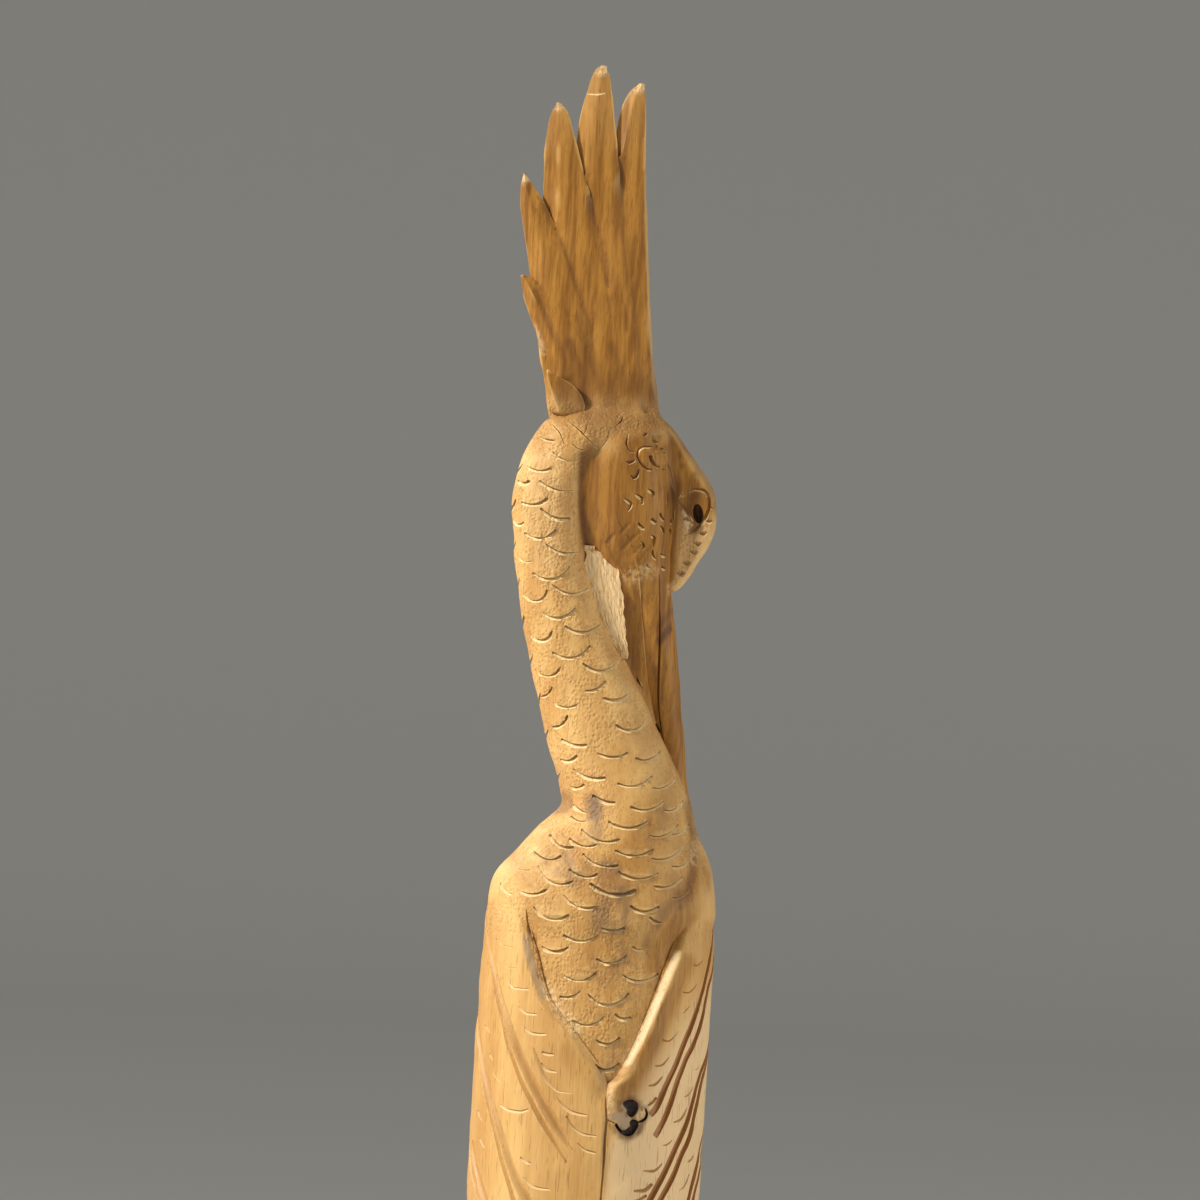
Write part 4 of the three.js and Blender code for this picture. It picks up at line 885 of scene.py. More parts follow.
def on_surface(slices, x, z, lift=0.0):
    """Points of the back of a surface at places across and up, with the surface's normals."""
    return round_surface(slices, angle_at(slices, x, z), z, lift)


def round_surface(slices, angle, z, lift=0.0):
    """Points of a surface at angles and heights, with normals from its two directions."""
    angle, z = np.broadcast_arrays(np.asarray(angle, float), np.asarray(z, float))
    points = oval(slices, angle, z, lift)
    around = oval(slices, angle + 0.01, z, lift) - points
    up = oval(slices, angle, z + 0.2, lift) - points
    return points, unit(np.cross(around, up))


def stroke(slices, line, section, depth, clear=0.6, step=0.8, ends=None):
    """A cut along a line drawn on a surface's back."""
    points, out = on_surface(slices, *drawn(line, step))
    return gouge(points, out, section, depth, clear, ends)


def scale_cutters(sizes, rng):
    """Stop cuts under the scales of neck and mantle: measured ones on the face that was drawn,
    and rows of the same kind round the throat."""
    cuts = []
    for x0, z0, x1, z1, bow in SCALE_CUTS:
        points, out = on_surface(sunk_slices, *arc(x0, z0, x1, z1, bow))
        place = "mantle" if z0 < MANTLE_TOP else "neck"
        deep = sizes.scale_depth * SCALE_SHARES[place] * rng.uniform(0.85, 1.15)
        cuts.append(gouge(points, out, SCALE_SECTION, deep, 1, 2.4))
    points, out = on_surface(sunk_slices, *arc(*DEEP_CUT))
    cuts.append(gouge(points, out, DEEP_SECTION, sizes.scale_depth * SCALE_SHARES["deep"], 1, 2))
    for row in range(THROAT_ROWS):
        for column in range(THROAT_SCALES):
            z = THROAT_TOP - THROAT_STEP * row + rng.uniform(-0.4, 0.4)
            turned_by = THROAT_ANGLE + THROAT_TURN * column + THROAT_TURN / 2 * (row % 2)
            angle = math.radians(turned_by + rng.uniform(-3, 3))
            turn, drop = arc(-5, 0, 5, 0, rng.uniform(2.2, 3))
            points, out = round_surface(sunk_slices, angle + turn / THROAT_RADIUS, z + drop)
            deep = sizes.scale_depth * SCALE_SHARES["throat"]
            cuts.append(gouge(points, out, THROAT_SECTION, deep))
    return cuts


def drawn_crescents(low, high, section, depth):
    """The measured crescents that start between two places across the drawn face."""
    return [stroke(body_slices, line, section, depth, 0.8) for line in WING_CUTS
            if low <= line[0][0] < high]


def wing_cutters(rng):
    """More crescents of the same kind lower down and round the sides."""
    cuts = []
    for side in (-1, 1):
        rows = [(236 - 11 * row - 4 * column, 94 + 13 * column) for row in range(11)
                for column in range(2)]
        rows += [(160 - 11 * row - 5 * column, 18 + 15 * column) for row in range(5)
                 for column in range(4)]
        for z, turn in rows:
            x, drop = arc(-3.2, 0, 3.2, 0, 1.3)
            turn = side * math.radians(turn + rng.uniform(-2, 2))
            points, out = round_surface(body_slices, turn + x / SIDE_RADIUS, z + rng.uniform(-1, 1) + drop)
            cuts.append(gouge(points, out, SIDE_SECTION, SIDE_DEPTH))
    return cuts


def channel_cutters(lines, section, depth):
    """Long channels round the wings, each along a line of angles and heights."""
    cuts = []
    for line in lines:
        angle, z = drawn(line, 2.2)
        points, out = round_surface(body_slices, np.radians(angle), z)
        cuts.append(gouge(points, out, section, depth, 1.2, 3.5))
    return cuts


def edge_cutters():
    """The crack between the wings, its root by the knot, and the slit at the left one's edge."""
    return [stroke(body_slices, SPLIT, **STROKES["split"]),
            stroke(body_slices, SLIT, **STROKES["slit"]),
            stroke(body_slices, KNOT_ROOT, **STROKES["knot_root"])]


def knot_cutters():
    """The rotten part of the knot: its hollows, the tail that curls round it and its edge."""
    return [*(pad(body_slices, outline, HOLLOW_LAYERS) for outline in KNOT_HOLLOWS),
            stroke(body_slices, KNOT_TAIL, **STROKES["knot_tail"]),
            stroke(body_slices, KNOT_EDGE, **STROKES["knot_edge"])]


def head_strokes(*kinds):
    """Strokes on the head: every line of each kind, in turn."""
    return [stroke(head_slices, line, **STROKES[kind]) for kind, lines in kinds for line in lines]


def cheek_cutters():
    """Nicks on the cheek, petals round the eye, the rings of eye and lid, and the mouth."""
    return head_strokes(("nick", CHEEK_NICKS), ("petal", EYE_PETALS), ("eye_ring", EYE_RINGS),
                        ("mouth", [MOUTH]))


def soft_cutters():
    """Shallow sweeps of the gouge under the cheek and fine lines before the comb."""
    return head_strokes(("sweep", CHEEK_SWEEPS), ("brow_line", BROW_LINES))


def crack_cutters():
    """Fine drying cracks over the top of neck and head."""
    cuts = []
    for line in HEAD_CRACKS:
        x, z = drawn(line, 0.7)
        slices = head_slices if np.mean(x) > -7 else body_slices
        points, out = on_surface(slices, x, z)
        cuts.append(gouge(points, out, rounded(0.13), 0.35, 0.4))
    return cuts


def mended_line():
    """The pale line of a mend across the tallest blade."""
    x, z = drawn(MEND, 0.6)
    points = np.stack([x, np.interp(x, *MEND_DEPTH), z], -1)
    return gouge(points, np.broadcast_to([0.0, -1, 0], points.shape), rounded(0.45), 0.5, 1.5)


def flat_cut(line, y, section, depth, clear=0.6, step=0.6):
    """A cut along a line drawn on an upright plane."""
    x, z = drawn(line, step)
    points = np.stack([x, np.full_like(x, y), z], -1)
    out = np.broadcast_to(np.array([0.0, -1, 0]), points.shape)
    return gouge(points, out, section, depth, clear)


def comb_cutters():
    """Notches inside the comb's rim, and the groove round the ring of the nostril."""
    cuts = []
    for x, z in RIM_CUTS:
        line = [(x - 1.5, z + 0.1), (x - 0.1, z - 0.5), (x + 1.1, z + 0.5)]
        cuts.append(flat_cut(line, COMB_BACK, leaning(0.9, 0.45), 0.7, 0.5, 0.4))
    cuts.append(flat_cut(RING_OUTER, COMB_BACK, rounded(0.7), 0.9, 0.8))
    return cuts


def nostril_cutter():
    """The nostril's pocket: a leaning ellipsoid of air."""
    points, quads, fans = ball((0, 0, 0), NOSTRIL_HALF, 18, 24)
    points = points @ np.array(Matrix.Rotation(math.radians(NOSTRIL_LEAN), 3, "Y")).T
    return points + [NOSTRIL[0], COMB_BACK, NOSTRIL[1]], quads, fans


def mesh_object(name, surfaces, material):
    """One object from closed surfaces, whose faces are laid end to end."""
    points, faces, start = [], [], 0
    for part, quads, fans in surfaces:
        points.append(part)
        faces += (quads + start).tolist() + (fans + start).tolist()
        start += len(part)
    mesh = bpy.data.meshes.new(name)
    mesh.from_pydata(np.concatenate(points).tolist(), [], faces)
    mesh.update()
    mesh.materials.append(material)
    made = bpy.data.objects.new(name, mesh)
    bpy.context.scene.collection.objects.link(made)
    return made


def apart(surfaces):
    """Sorts closed surfaces into lists in which no two boxes meet, each into the first it fits."""
    lists, boxes = [], []
    for surface in surfaces:
        low, high = surface[0].min(axis=0), surface[0].max(axis=0)
        for members, taken in zip(lists, boxes):
            lows, highs = (np.array(side) for side in zip(*taken))
            if not np.any(np.all((lows < high) & (highs > low), axis=1)):
                break
        else:
            members, taken = [], []
            lists.append(members)
            boxes.append(taken)
        members.append(surface)
        taken.append((low, high))
    return lists


def combined(first, surfaces, operation, material):
    """Joins closed surfaces to the first object, or cuts them from it."""
    others = [mesh_object("tool", members, material) for members in apart(surfaces)]
    for other in others:
        change = first.modifiers.new("carve", "BOOLEAN")
        change.operation = operation
        change.solver = "MANIFOLD"
        change.material_mode = "TRANSFER"
        change.object = other
    depsgraph = bpy.context.evaluated_depsgraph_get()
    mesh = bpy.data.meshes.new_from_object(first.evaluated_get(depsgraph))
    old = first.data
    first.modifiers.clear()
    first.data = mesh
    bpy.data.meshes.remove(old)
    for other in others:
        mesh = other.data
        bpy.data.objects.remove(other)
        bpy.data.meshes.remove(mesh)
    return first


def relaxed(mesh, weight_of, rounds):
    """Moves each vertex towards the mean of its neighbours by its weight, a few times over."""
    count = len(mesh.vertices)
    points = read(mesh.vertices, "co", 3)
    edges = read(mesh.edges, "vertices", 2).astype(int)
    degree = np.maximum(np.bincount(edges.ravel(), minlength=count), 1)[:, None]
    weight = weight_of(points)[:, None]
    for _ in range(rounds):
        total = np.zeros_like(points)
        for k in range(3):
            total[:, k] = (np.bincount(edges[:, 0], points[edges[:, 1], k], count)
                           + np.bincount(edges[:, 1], points[edges[:, 0], k], count))
        points += weight * (total / degree - points)
    mesh.vertices.foreach_set("co", points.astype(np.float32).ravel())
    mesh.update()


def read(collection, name, width):
    """A collection's values as an array of the given width."""
    values = np.empty(len(collection) * width, np.float32)
    collection.foreach_get(name, values)
    return values.reshape(-1, width).astype(float)


def fused(points):
    """Where the wood is eased after joining: the crest's foot and the blades below their notches,
    the brow, the crown, and the valley between neck and head."""
    x, z = points[:, 0], points[:, 2]
    notches = np.interp(x, *zip(*NOTCH_LINE))
    crest = smooth(z, 400, 406) * (1 - smooth(z, notches - 16, notches - 5))
    brow = smooth(x, 9, 12) * smooth(z, 381, 386) * (1 - smooth(x, 22, 26))
    crown = smooth(z, 391, 398) * (1 - smooth(z, 410, 424)) * smooth(x, -22, -14)
    edge = body_slices(z)[:, 1]
    valley = (1 - smooth(np.abs(x - edge), 5, 9)) * smooth(z, 360, 366) * (1 - smooth(z, 392, 399))
    return np.maximum.reduce([0.35 * crest, 0.6 * brow, 0.6 * crown, 0.6 * valley])


def shoulders(points):
    """Where wings and mantle run into each other at the top."""
    x, z = np.abs(points[:, 0]), points[:, 2]
    return 0.5 * smooth(x, 17, 24) * smooth(z, 250, 256) * (1 - smooth(z, 276, 284))


def ripple(points, rng, size, waves=28):
    """An even unevenness: the mean of plane waves in random directions, of about one wave a
    size, scaled so that most of it lies between -1 and 1."""
    direction = unit(rng.normal(0, 1, (waves, 3))) * (2 * np.pi / size)
    direction *= rng.uniform(0.6, 1.5, (waves, 1))
    phase = rng.uniform(0, 2 * np.pi, waves)
    return np.cos(points @ direction.T + phase).sum(axis=1) / math.sqrt(waves)


def lifted(x, z):
    """How far the wood stands up over each scale's lower edge: inside the arc it falls off with
    the exponential of the distance, outside it is sunk the same way, and both fade at the
    arc's ends."""
    rise = np.zeros(len(x))
    for x0, z0, x1, z1, bow in SCALE_CUTS:
        chord = math.hypot(x1 - x0, z1 - z0)
        half = 2 * math.atan2(2 * bow, chord)
        radius = chord / 2 / math.sin(half)
        ux, uz = (x1 - x0) / chord, (z1 - z0) / chord
        dx = x - (x0 + x1) / 2 + radius * math.cos(half) * uz
        dz = z - (z0 + z1) / 2 - radius * math.cos(half) * ux
        past = np.hypot(dx, dz) - radius
        turn = np.abs(np.arctan2(dx * ux + dz * uz, dx * uz - dz * ux)) / half
        height = 0.42 * min(1, chord / 9) * (1.3 if z0 < 280 else 1)
        profile = np.where(past < 0, np.exp(np.minimum(past, 0) / 2),
                           -0.8 * np.exp(-np.maximum(past, 0) / 1.3))
        rise += height * profile * (1 - smooth(turn, 0.7, 1.15))
    return rise


def scored(x, z):
    """Shallow grooves: the depth times a bell of the distance to each line."""
    sunk = np.zeros(len(x))
    for line, width, depth in SOFT_LINES:
        sunk = np.maximum(sunk, depth * np.exp(-(line_distance(x, z, line) / width)**2))
    return sunk


def relief(mesh):
    """Raises the scales and sinks the soft lines on the side that was drawn."""
    points = read(mesh.vertices, "co", 3)
    normals = read(mesh.vertices, "normal", 3)
    x, y, z = points.T
    on_back = smooth(-normals[:, 1], 0.1, 0.45)
    body = (1 - inside_line(points, [[row[0], row[2]] for row in TRUNK], 0.4)) * smooth(z, 206, 210)
    body *= (1 - smooth(z, 396, 400)) * (y < np.interp(z, [200, 400], [-8, 0]))
    height = lifted(x, z) * body - scored(x, z)
    points += (height * on_back)[:, None] * normals
    mesh.vertices.foreach_set("co", points.astype(np.float32).ravel())
    mesh.update()


# Ripples of the knife: half height and length.
RIPPLES = ((0.16, 16), (0.05, 5))


def worked(mesh, rng):
    """Leaves the hand's unevenness on the wood: ripples along the normals, none at the base's
    underside and inwards alone at the widest and highest places."""
    points = read(mesh.vertices, "co", 3)
    normals = read(mesh.vertices, "normal", 3)
    depth = sum(size * ripple(points, rng, length) for size, length in RIPPLES)
    inward = np.maximum(smooth(points[:, 2], 500, 505), 1 - smooth(points[:, 2], 24, 30))
    depth = depth * (1 - inward) - 0.1 * inward * (points[:, 2] > 2)
    depth *= 1 - smooth(points[:, 2], 506, 507.5)
    mesh.vertices.foreach_set("co", (points + depth[:, None] * normals).astype(np.float32).ravel())
    mesh.update()


SEED = 11
JOIN_ROUNDS, SHOULDER_ROUNDS = 14, 10
FAR_EYE = ((6, 12.2, 391), (2.6, 2, 2.6))


def carve(sizes):
    """The bird in millimetres: its parts joined, eased, and cut with each group of gouges."""
    rng = np.random.default_rng(SEED)
    wood = bpy.data.materials.new("wood")
    bird = mesh_object("carved_heron", [trunk()], wood)
    fans = [crest_blade(order) for order in range(len(CREST))]
    combined(bird, [head(), comb(), web()] + fans, "UNION", wood)
    relaxed(bird.data, fused, JOIN_ROUNDS)
    relief(bird.data)
    added = [wing(LEFT_WING, rng), wing(RIGHT_WING, rng), crest_leaf()]
    added += [body_blade(side, shape, -0.6) for side in (-1, 1) for shape in WING_TIPS]
    added += [body_blade(1, shape, -3.4) for shape in TAIL_BLADES]
    combined(bird, added + legs_and_base(), "UNION", wood)
    relaxed(bird.data, shoulders, SHOULDER_ROUNDS)
    worked(bird.data, rng)
    eyes = [pad(head_slices, outline, DISC_LAYERS) for outline in EYE_DISCS]
    eyes.append(ball(*FAR_EYE))
    groups = (
        ("wood", "UNION", eyes),
        ("raw", "UNION", [raw_wedge(rng)]),
        ("stop_cut", "DIFFERENCE", scale_cutters(sizes, rng)),
        ("crescent", "DIFFERENCE", drawn_crescents(*CRESCENTS["crescent"]) + wing_cutters(rng)),
        ("faint_crescent", "DIFFERENCE", drawn_crescents(*CRESCENTS["faint_crescent"])),
        ("right_crescent", "DIFFERENCE", drawn_crescents(*CRESCENTS["right_crescent"])),
        ("left_channel", "DIFFERENCE",
         channel_cutters(LEFT_NARROW, rounded(NARROW_HALF), NARROW_DEPTH)
         + channel_cutters(LEFT_BROAD, rounded(sizes.channel_width * BROAD_SHARE), BROAD_DEPTH)),
        ("right_channel", "DIFFERENCE",
         channel_cutters(RIGHT_CHANNELS, flat(sizes.channel_width * FLAT_SHARE),
                         sizes.channel_depth)),
        ("nick", "DIFFERENCE", cheek_cutters()),
        ("soft_cut", "DIFFERENCE", soft_cutters()),
        ("notch", "DIFFERENCE", comb_cutters()),
        ("pit", "DIFFERENCE", [nostril_cutter()]),
        ("split", "DIFFERENCE", edge_cutters()),
        ("crack", "DIFFERENCE", crack_cutters()),
        ("knot", "DIFFERENCE", knot_cutters()),
        ("raw", "DIFFERENCE", [mended_line()]),
    )
    for name, operation, surfaces in groups:
        kind = bpy.data.materials.get(name) or bpy.data.materials.new(name)
        combined(bird, surfaces, operation, kind)
    keep_whole(bird.data)
    return bird


def keep_whole(mesh):
    """Drops the chips and closed hollows that cuts leave by themselves: each vertex takes the
    least number among its neighbours until none changes, and the commonest number stays."""
    edges = read(mesh.edges, "vertices", 2).astype(int)
    label = np.arange(len(mesh.vertices))
    while True:
        least = label.copy()
        np.minimum.at(least, edges[:, 0], label[edges[:, 1]])
        np.minimum.at(least, edges[:, 1], label[edges[:, 0]])
        least = least[least]
        if np.array_equal(least, label):
            break
        label = least
    whole = bmesh.new()
    whole.from_mesh(mesh)
    whole.verts.ensure_lookup_table()
    loose = np.flatnonzero(label != np.bincount(label).argmax())
    bmesh.ops.delete(whole, geom=[whole.verts[at] for at in loose], context="VERTS")
    whole.to_mesh(mesh)
    whole.free()
    mesh.update()


# Marks for the finish
def line_distance(x, z, line):
    """The distance from each point to a drawn line, the least of those to its segments."""
    nearest = np.full(x.shape, np.inf)
    for (ax, az), (bx, bz) in zip(line[:-1], line[1:]):
        dx, dz = bx - ax, bz - az
        t = np.clip(((x - ax) * dx + (z - az) * dz) / max(dx * dx + dz * dz, 1e-9), 0, 1)
        nearest = np.minimum(nearest, np.hypot(x - ax - t * dx, z - az - t * dz))
    return nearest


def touched(points, marks):
    """How strongly the points of the drawn face lie in any mark: a line with its half width and
    the width of its soft edge."""
    x, y, z = points.T
    result = np.zeros(len(points))
    for line, half, soft, strength in marks:
        line = line if len(line) > 1 else line * 2
        mark = strength * (1 - smooth(line_distance(x, z, line), half, half + soft))
        result = np.maximum(result, mark)
    return result * (1 - smooth(y, 4, 10))


# Marks on the drawn face: a line, its half width, the width of its soft edge and its strength.
SMOOTH_PATCHES = [
    ([(14, 262), (12, 285), (8, 300)], 6, 7, 0.9), ([(22, 255), (20, 245)], 3, 5, 0.9),
    ([(5, 330), (0, 320)], 3, 5, 0.5),
]
BROWN_PATCHES = [
    ([(30, 270), (26.5, 257), (21, 248), (17.6, 240)], 2.4, 2.6, 0.85),
    ([(20, 262), (22, 250), (19, 240)], 3, 6, 0.5),
    ([(25.6, 241), (21.8, 229.5), (15, 212), (12, 202)], 1.8, 3.4, 0.8),
    ([(12, 280), (6, 262), (2, 246)], 6, 10, 0.4), ([(9, 203), (12, 199)], 2, 5, 0.5),
    ([(3, 203), (-6, 212)], 1, 5, 0.3),
]
# Painted light on the neck's upper left side.
NECK_PAINTED_LIGHT = [([(-23, 388), (-24.5, 376), (-22, 360)], 2, 6, 0.2)]
WORN_ROLL = [([(23.6, 243), (19.2, 231), (14.6, 219), (10.6, 210.5)], 0.8, 0.8, 1)]
STAINS = [
    ([(-4.4, 287.5), (-3.6, 283.5)], 1.2, 2.6, 0.75), ([(-2.9, 281), (-2.6, 277)], 1, 2.4, 0.45),
    ([(-14, 269), (-9, 266), (-2, 265)], 2, 4.5, 0.45), ([(3, 254), (5, 258)], 3.5, 5, 0.55),
    ([(-1, 268.5), (3, 267)], 1.5, 3, 0.5), ([(4.5, 243), (2, 238)], 2, 5, 0.35),
    ([(-20.9, 243), (-18.6, 236)], 0.4, 1, 0.3),
    ([(7, 214), (6, 207)], 1.5, 3, 0.3), ([(10.6, 197.6)], 2.2, 2, 0.5),
    ([(10.6, 191)], 2.2, 1.6, 0.4), ([(6.5, 194.5), (6, 192)], 0.7, 1.4, 0.5),
    ([(5.5, 191), (5.4, 170), (5.2, 150)], 0.3, 1.4, 0.4), ([(-12, 400), (-6, 402)], 2, 5, 0.25),
]
# Dark stains, knots and streaks, and the painted shade marked below.
DARK_STAINS_AND_SHADE = [
    # These two: darker wood beside the neck, with painted shade where the neck shades the head's left side.
    ([(-13.6, 391), (-13.4, 380), (-12.2, 371), (-10.6, 364)], 0.5, 1.4, 0.8),
    ([(-11.6, 392), (-11, 380), (-10, 371), (-8.6, 365)], 1.5, 5, 0.4),
    ([(-3, 388), (-4, 376), (-3, 366)], 3, 7, 0.22),
    ([(12.9, 197)], 2.6, 1.3, 0.9), ([(9.2, 198.5), (9.3, 196.8)], 0.5, 0.9, 0.8),
    ([(10.8, 194)], 0.15, 0.5, 0.7),
    ([(9.4, 190.8), (12, 189.3), (14.6, 191), (14.8, 193)], 1.5, 1.3, 0.9),
    ([(15, 192.9), (17, 194), (17.6, 195.6), (16.8, 197.4)], 0.5, 0.9, 0.7),
    ([(16.9, 197.6), (18.6, 199)], 0.2, 0.4, 0.5),
    ([(-14.4, 407), (-16.6, 416), (-19.5, 424)], 0.5, 2.6, 0.8),
    ([(-9, 409), (-14, 421), (-17, 432)], 0.4, 2.2, 0.6),
    ([(1, 408), (-4, 417), (-7, 424)], 0.3, 1.8, 0.5),
    ([(-15, 409), (-4, 408), (4, 408)], 3, 12, 0.5), ([(14.8, 384), (14.6, 380)], 0.8, 2.2, 0.8),
    ([(16.6, 389.6)], 0.5, 0.9, 0.8), ([(20.2, 387.4)], 0.4, 0.9, 0.7), ([(15.4, 392.6)], 0.5, 0.8, 0.6),
    ([(13.4, 391)], 0.4, 0.8, 0.5), ([(11, 394.6)], 0.4, 1, 0.6), ([(9, 397.6)], 0.4, 1, 0.6),
    # Painted shade on the comb's top right, where it turns away from the light.
    ([(14, 401), (19, 393.5), (24, 386.5), (26, 380)], 1, 5, 0.4),
    # Painted shade in the nostril's hole.
    ([(21.6, 379.4), (20.8, 372)], 1.9, 1.8, 0.75),
    ([(15.4, 340.5), (12.7, 336.6)], 0.7, 0.8, 0.9), ([(12.5, 341), (15.6, 346)], 0.4, 1, 0.6),
    # The first mark here is painted shade in a small hole at the top of the raw wedge.
    ([(-9.6, 363.6)], 0.5, 0.9, 1.0), ([(23, 262), (23.6, 258)], 0.4, 1.2, 0.6),
    # Painted shade along the crease of the fold above the right wing.
    ([(24.6, 288), (26.8, 277.3), (27, 267.5), (25.6, 261.7), (21, 258.6), (17.3, 252.8),
      (14, 246)], 0.4, 2, 0.6),
]
GREY_MARKS = [
    ([(7.6, 194.6), (9.6, 194.4), (11.4, 193.2), (11.2, 191.8), (9.8, 192.4)], 0.9, 0.6, 1),
    ([(9.8, 197.8), (11, 196.4), (12.2, 195), (12.5, 193.8)], 0.35, 0.4, 0.9),
    ([(-21.9, 245.4), (-20.2, 239.5), (-17.3, 232.9), (-15.5, 228.9)], 0.8, 0.7, 0.65),
]
RAW_MARKS = [
    ([(-27.2, 495.4)], 1.2, 1.6, 0.7), ([(-14.6, 507)], 1.2, 1.8, 0.8), ([(-3, 502)], 1, 1.6, 0.8),
    ([(-36, 473)], 1, 1.8, 0.8), ([(-14.4, 231), (-10.9, 225.1), (-8, 222.3), (-5.4, 219.4)],
     1.1, 1.3, 0.9), ([(2.5, 355.5), (5.4, 356.6), (8.8, 357.4)], 1.3, 2, 0.42),
    ([(18.5, 370.6), (19.5, 373)], 0.9, 0.6, 1.0),
    ([(6.3, 203), (6.6, 199.4), (6.9, 194.4)], 0.7, 0.8, 0.7),
    ([(14.8, 194.3), (15.7, 194.9), (16.5, 196.4)], 0.5, 0.4, 1),
    ([(16.6, 380.5)], 0.5, 0.5, 0.6),
    ([(27.4, 277), (27, 271)], 0.8, 1.2, 0.5), ([(-30.5, 428), (-27.5, 421)], 0.5, 1.2, 0.4),
    ([(26.6, 372), (24, 363), (19.5, 356), (16, 352.4)], 1.6, 1.4, 0.35),
]


# How strongly the faces of each cut take the dark of the cuts as painted shade where they face down and a
# painted highlight where they face up, red-brown floors (partly painted shade on the right wing), black rot
# (painted shade in the nostril's pit) or torn wood.
CUT_FACES = {
    "cut": {"stop_cut": 1, "crescent": 0.6, "faint_crescent": 0.15, "right_crescent": 0.3,
            "left_channel": 0.15, "nick": 1, "notch": 0.7, "crack": 1.4, "split": 0.6,
            "soft_cut": 0.2},
    # Red-brown floors; on the right wing, which lies away from the light, partly painted shade, and on its
    # crescents painted shade for their dark walls.
    "ruddy_and_shade": {"right_channel": 1, "right_crescent": 0.7, "left_channel": 0.15},
    # The nostril's pit takes the black at 0.6 as painted shade in its pocket.
    "char": {"knot": 1, "pit": 0.6},
    "torn": {"raw": 1},
}


def inside_line(points, rows, soft):
    """How far points lie to the right of a line of rows of height and place, softly."""
    return smooth(points[:, 0] - spline(rows, points[:, 2])[:, 0], -soft, soft)


def mark_wood(mesh):
    """Stores what the finish follows: float attributes for each vertex or face, worked out from
    the place on the bird in millimetres and from the kind of cut."""
    points = read(mesh.vertices, "co", 3)
    x, y, z = points.T
    on_head = inside_line(points, NECK_EDGE, 0.9) * smooth(z, 276, 284) * (1 - smooth(z, 388, 398))
    on_head = np.maximum(on_head, smooth(x, -9, 1) * smooth(z, 383, 392) * (1 - smooth(z, 395, 402)))
    # The comb's low rim: partly paler wood, partly painted light, so it is less brown and paler.
    rim = smooth(x, 15.5, 18) * (1 - smooth(z, 368, 376)) * smooth(z, 346, 352)
    on_head *= 1 - 0.85 * rim
    crest = smooth(z, 402, 412)
    left = inside_line(points, LEFT_WING["inner"][1:], 0.8)
    right = 1 - inside_line(points, RIGHT_WING["inner"][1:], 0.8)
    front = smooth(y, 2, 10)
    low_mantle = left * right * (1 - smooth(z, 262, 270)) * smooth(z, 203, 209) * (1 - front)
    neck = smooth(z, 262, 270) * (1 - crest) * (1 - on_head)
    shoulder = smooth(z, 238, 252) * (1 - smooth(z, 262, 272)) * (1 - smooth(x, -26, -16)) * (1 - front)
    stipple = np.maximum(np.maximum(low_mantle, neck), shoulder)
    stipple = stipple * (1 - touched(points, SMOOTH_PATCHES))
    tone = np.maximum.reduce([
        on_head, crest * (1 - 0.35 * smooth(z, 474, 508)), 0.3 * low_mantle,
        0.5 * smooth(z, 388, 398) * (1 - crest), touched(points, BROWN_PATCHES)])
    pale = smooth(x, 5, 9) * smooth(190 + 1.8 * (x - 8) - z, -6, 10) * (1 - front)
    # Painted light on the neck's left side.
    painted_neck_light = touched(points, NECK_PAINTED_LIGHT)
    roll = touched(points, WORN_ROLL)
    # Painted shadow lines along the crest's partings, where each blade stands over the next.
    parting_shadows = [(line, 0.1, 1.1, 0.6) for line, _, _ in SOFT_LINES[:4]]
    values = {
        "stipple": stipple, "tone": tone * (1 - roll),
        "pale": np.maximum.reduce([pale, roll, 0.25 * rim, painted_neck_light]),
        "stain": touched(points, STAINS), "raw": touched(points, RAW_MARKS),
        "dark": touched(points, DARK_STAINS_AND_SHADE + parting_shadows), "grey": touched(points, GREY_MARKS),
        # The hollowness drives the painted shade in hollows and the painted highlight on ridges.
        "hollow": hollowness(mesh, points),
    }
    for name, value in values.items():
        store(mesh, name, "POINT", value)
    kinds = [material.name for material in mesh.materials]
    index = np.empty(len(mesh.polygons), np.int32)
    mesh.polygons.foreach_get("material_index", index)
    for name, shares in CUT_FACES.items():
        value = np.array([shares.get(kind.split(".")[0], 0) for kind in kinds], float)
        store(mesh, name, "FACE", value[index])


# The smoothing that finds hollows: its rounds, how far each goes, and the depth that counts as one.
HOLLOW_ROUNDS, HOLLOW_EASE, HOLLOW_FULL = 30, 0.7, 0.9


def hollowness(mesh, points):
    """How far each vertex lies under its surroundings, from -1 on ridges to 1 in deep corners:
    the gap along the normal to the place that it drifts to when the mesh is smoothed."""
    count = len(points)
    edges = read(mesh.edges, "vertices", 2).astype(int)
    degree = np.maximum(np.bincount(edges.ravel(), minlength=count), 1)[:, None]
    place = points.copy()
    for _ in range(HOLLOW_ROUNDS):
        total = np.stack([np.bincount(edges[:, 0], place[edges[:, 1], k], count)
                          + np.bincount(edges[:, 1], place[edges[:, 0], k], count)
                          for k in range(3)], -1)
        place += HOLLOW_EASE * (total / degree - place)
    sunk = ((place - points) * read(mesh.vertices, "normal", 3)).sum(axis=1)
    return np.clip(sunk / HOLLOW_FULL, -1, 1)


def store(mesh, name, domain, value):
    """Keeps an array as a float attribute of the mesh."""
    mark = mesh.attributes.new(name, "FLOAT", domain)
    mark.data.foreach_set("value", np.asarray(value, np.float32))


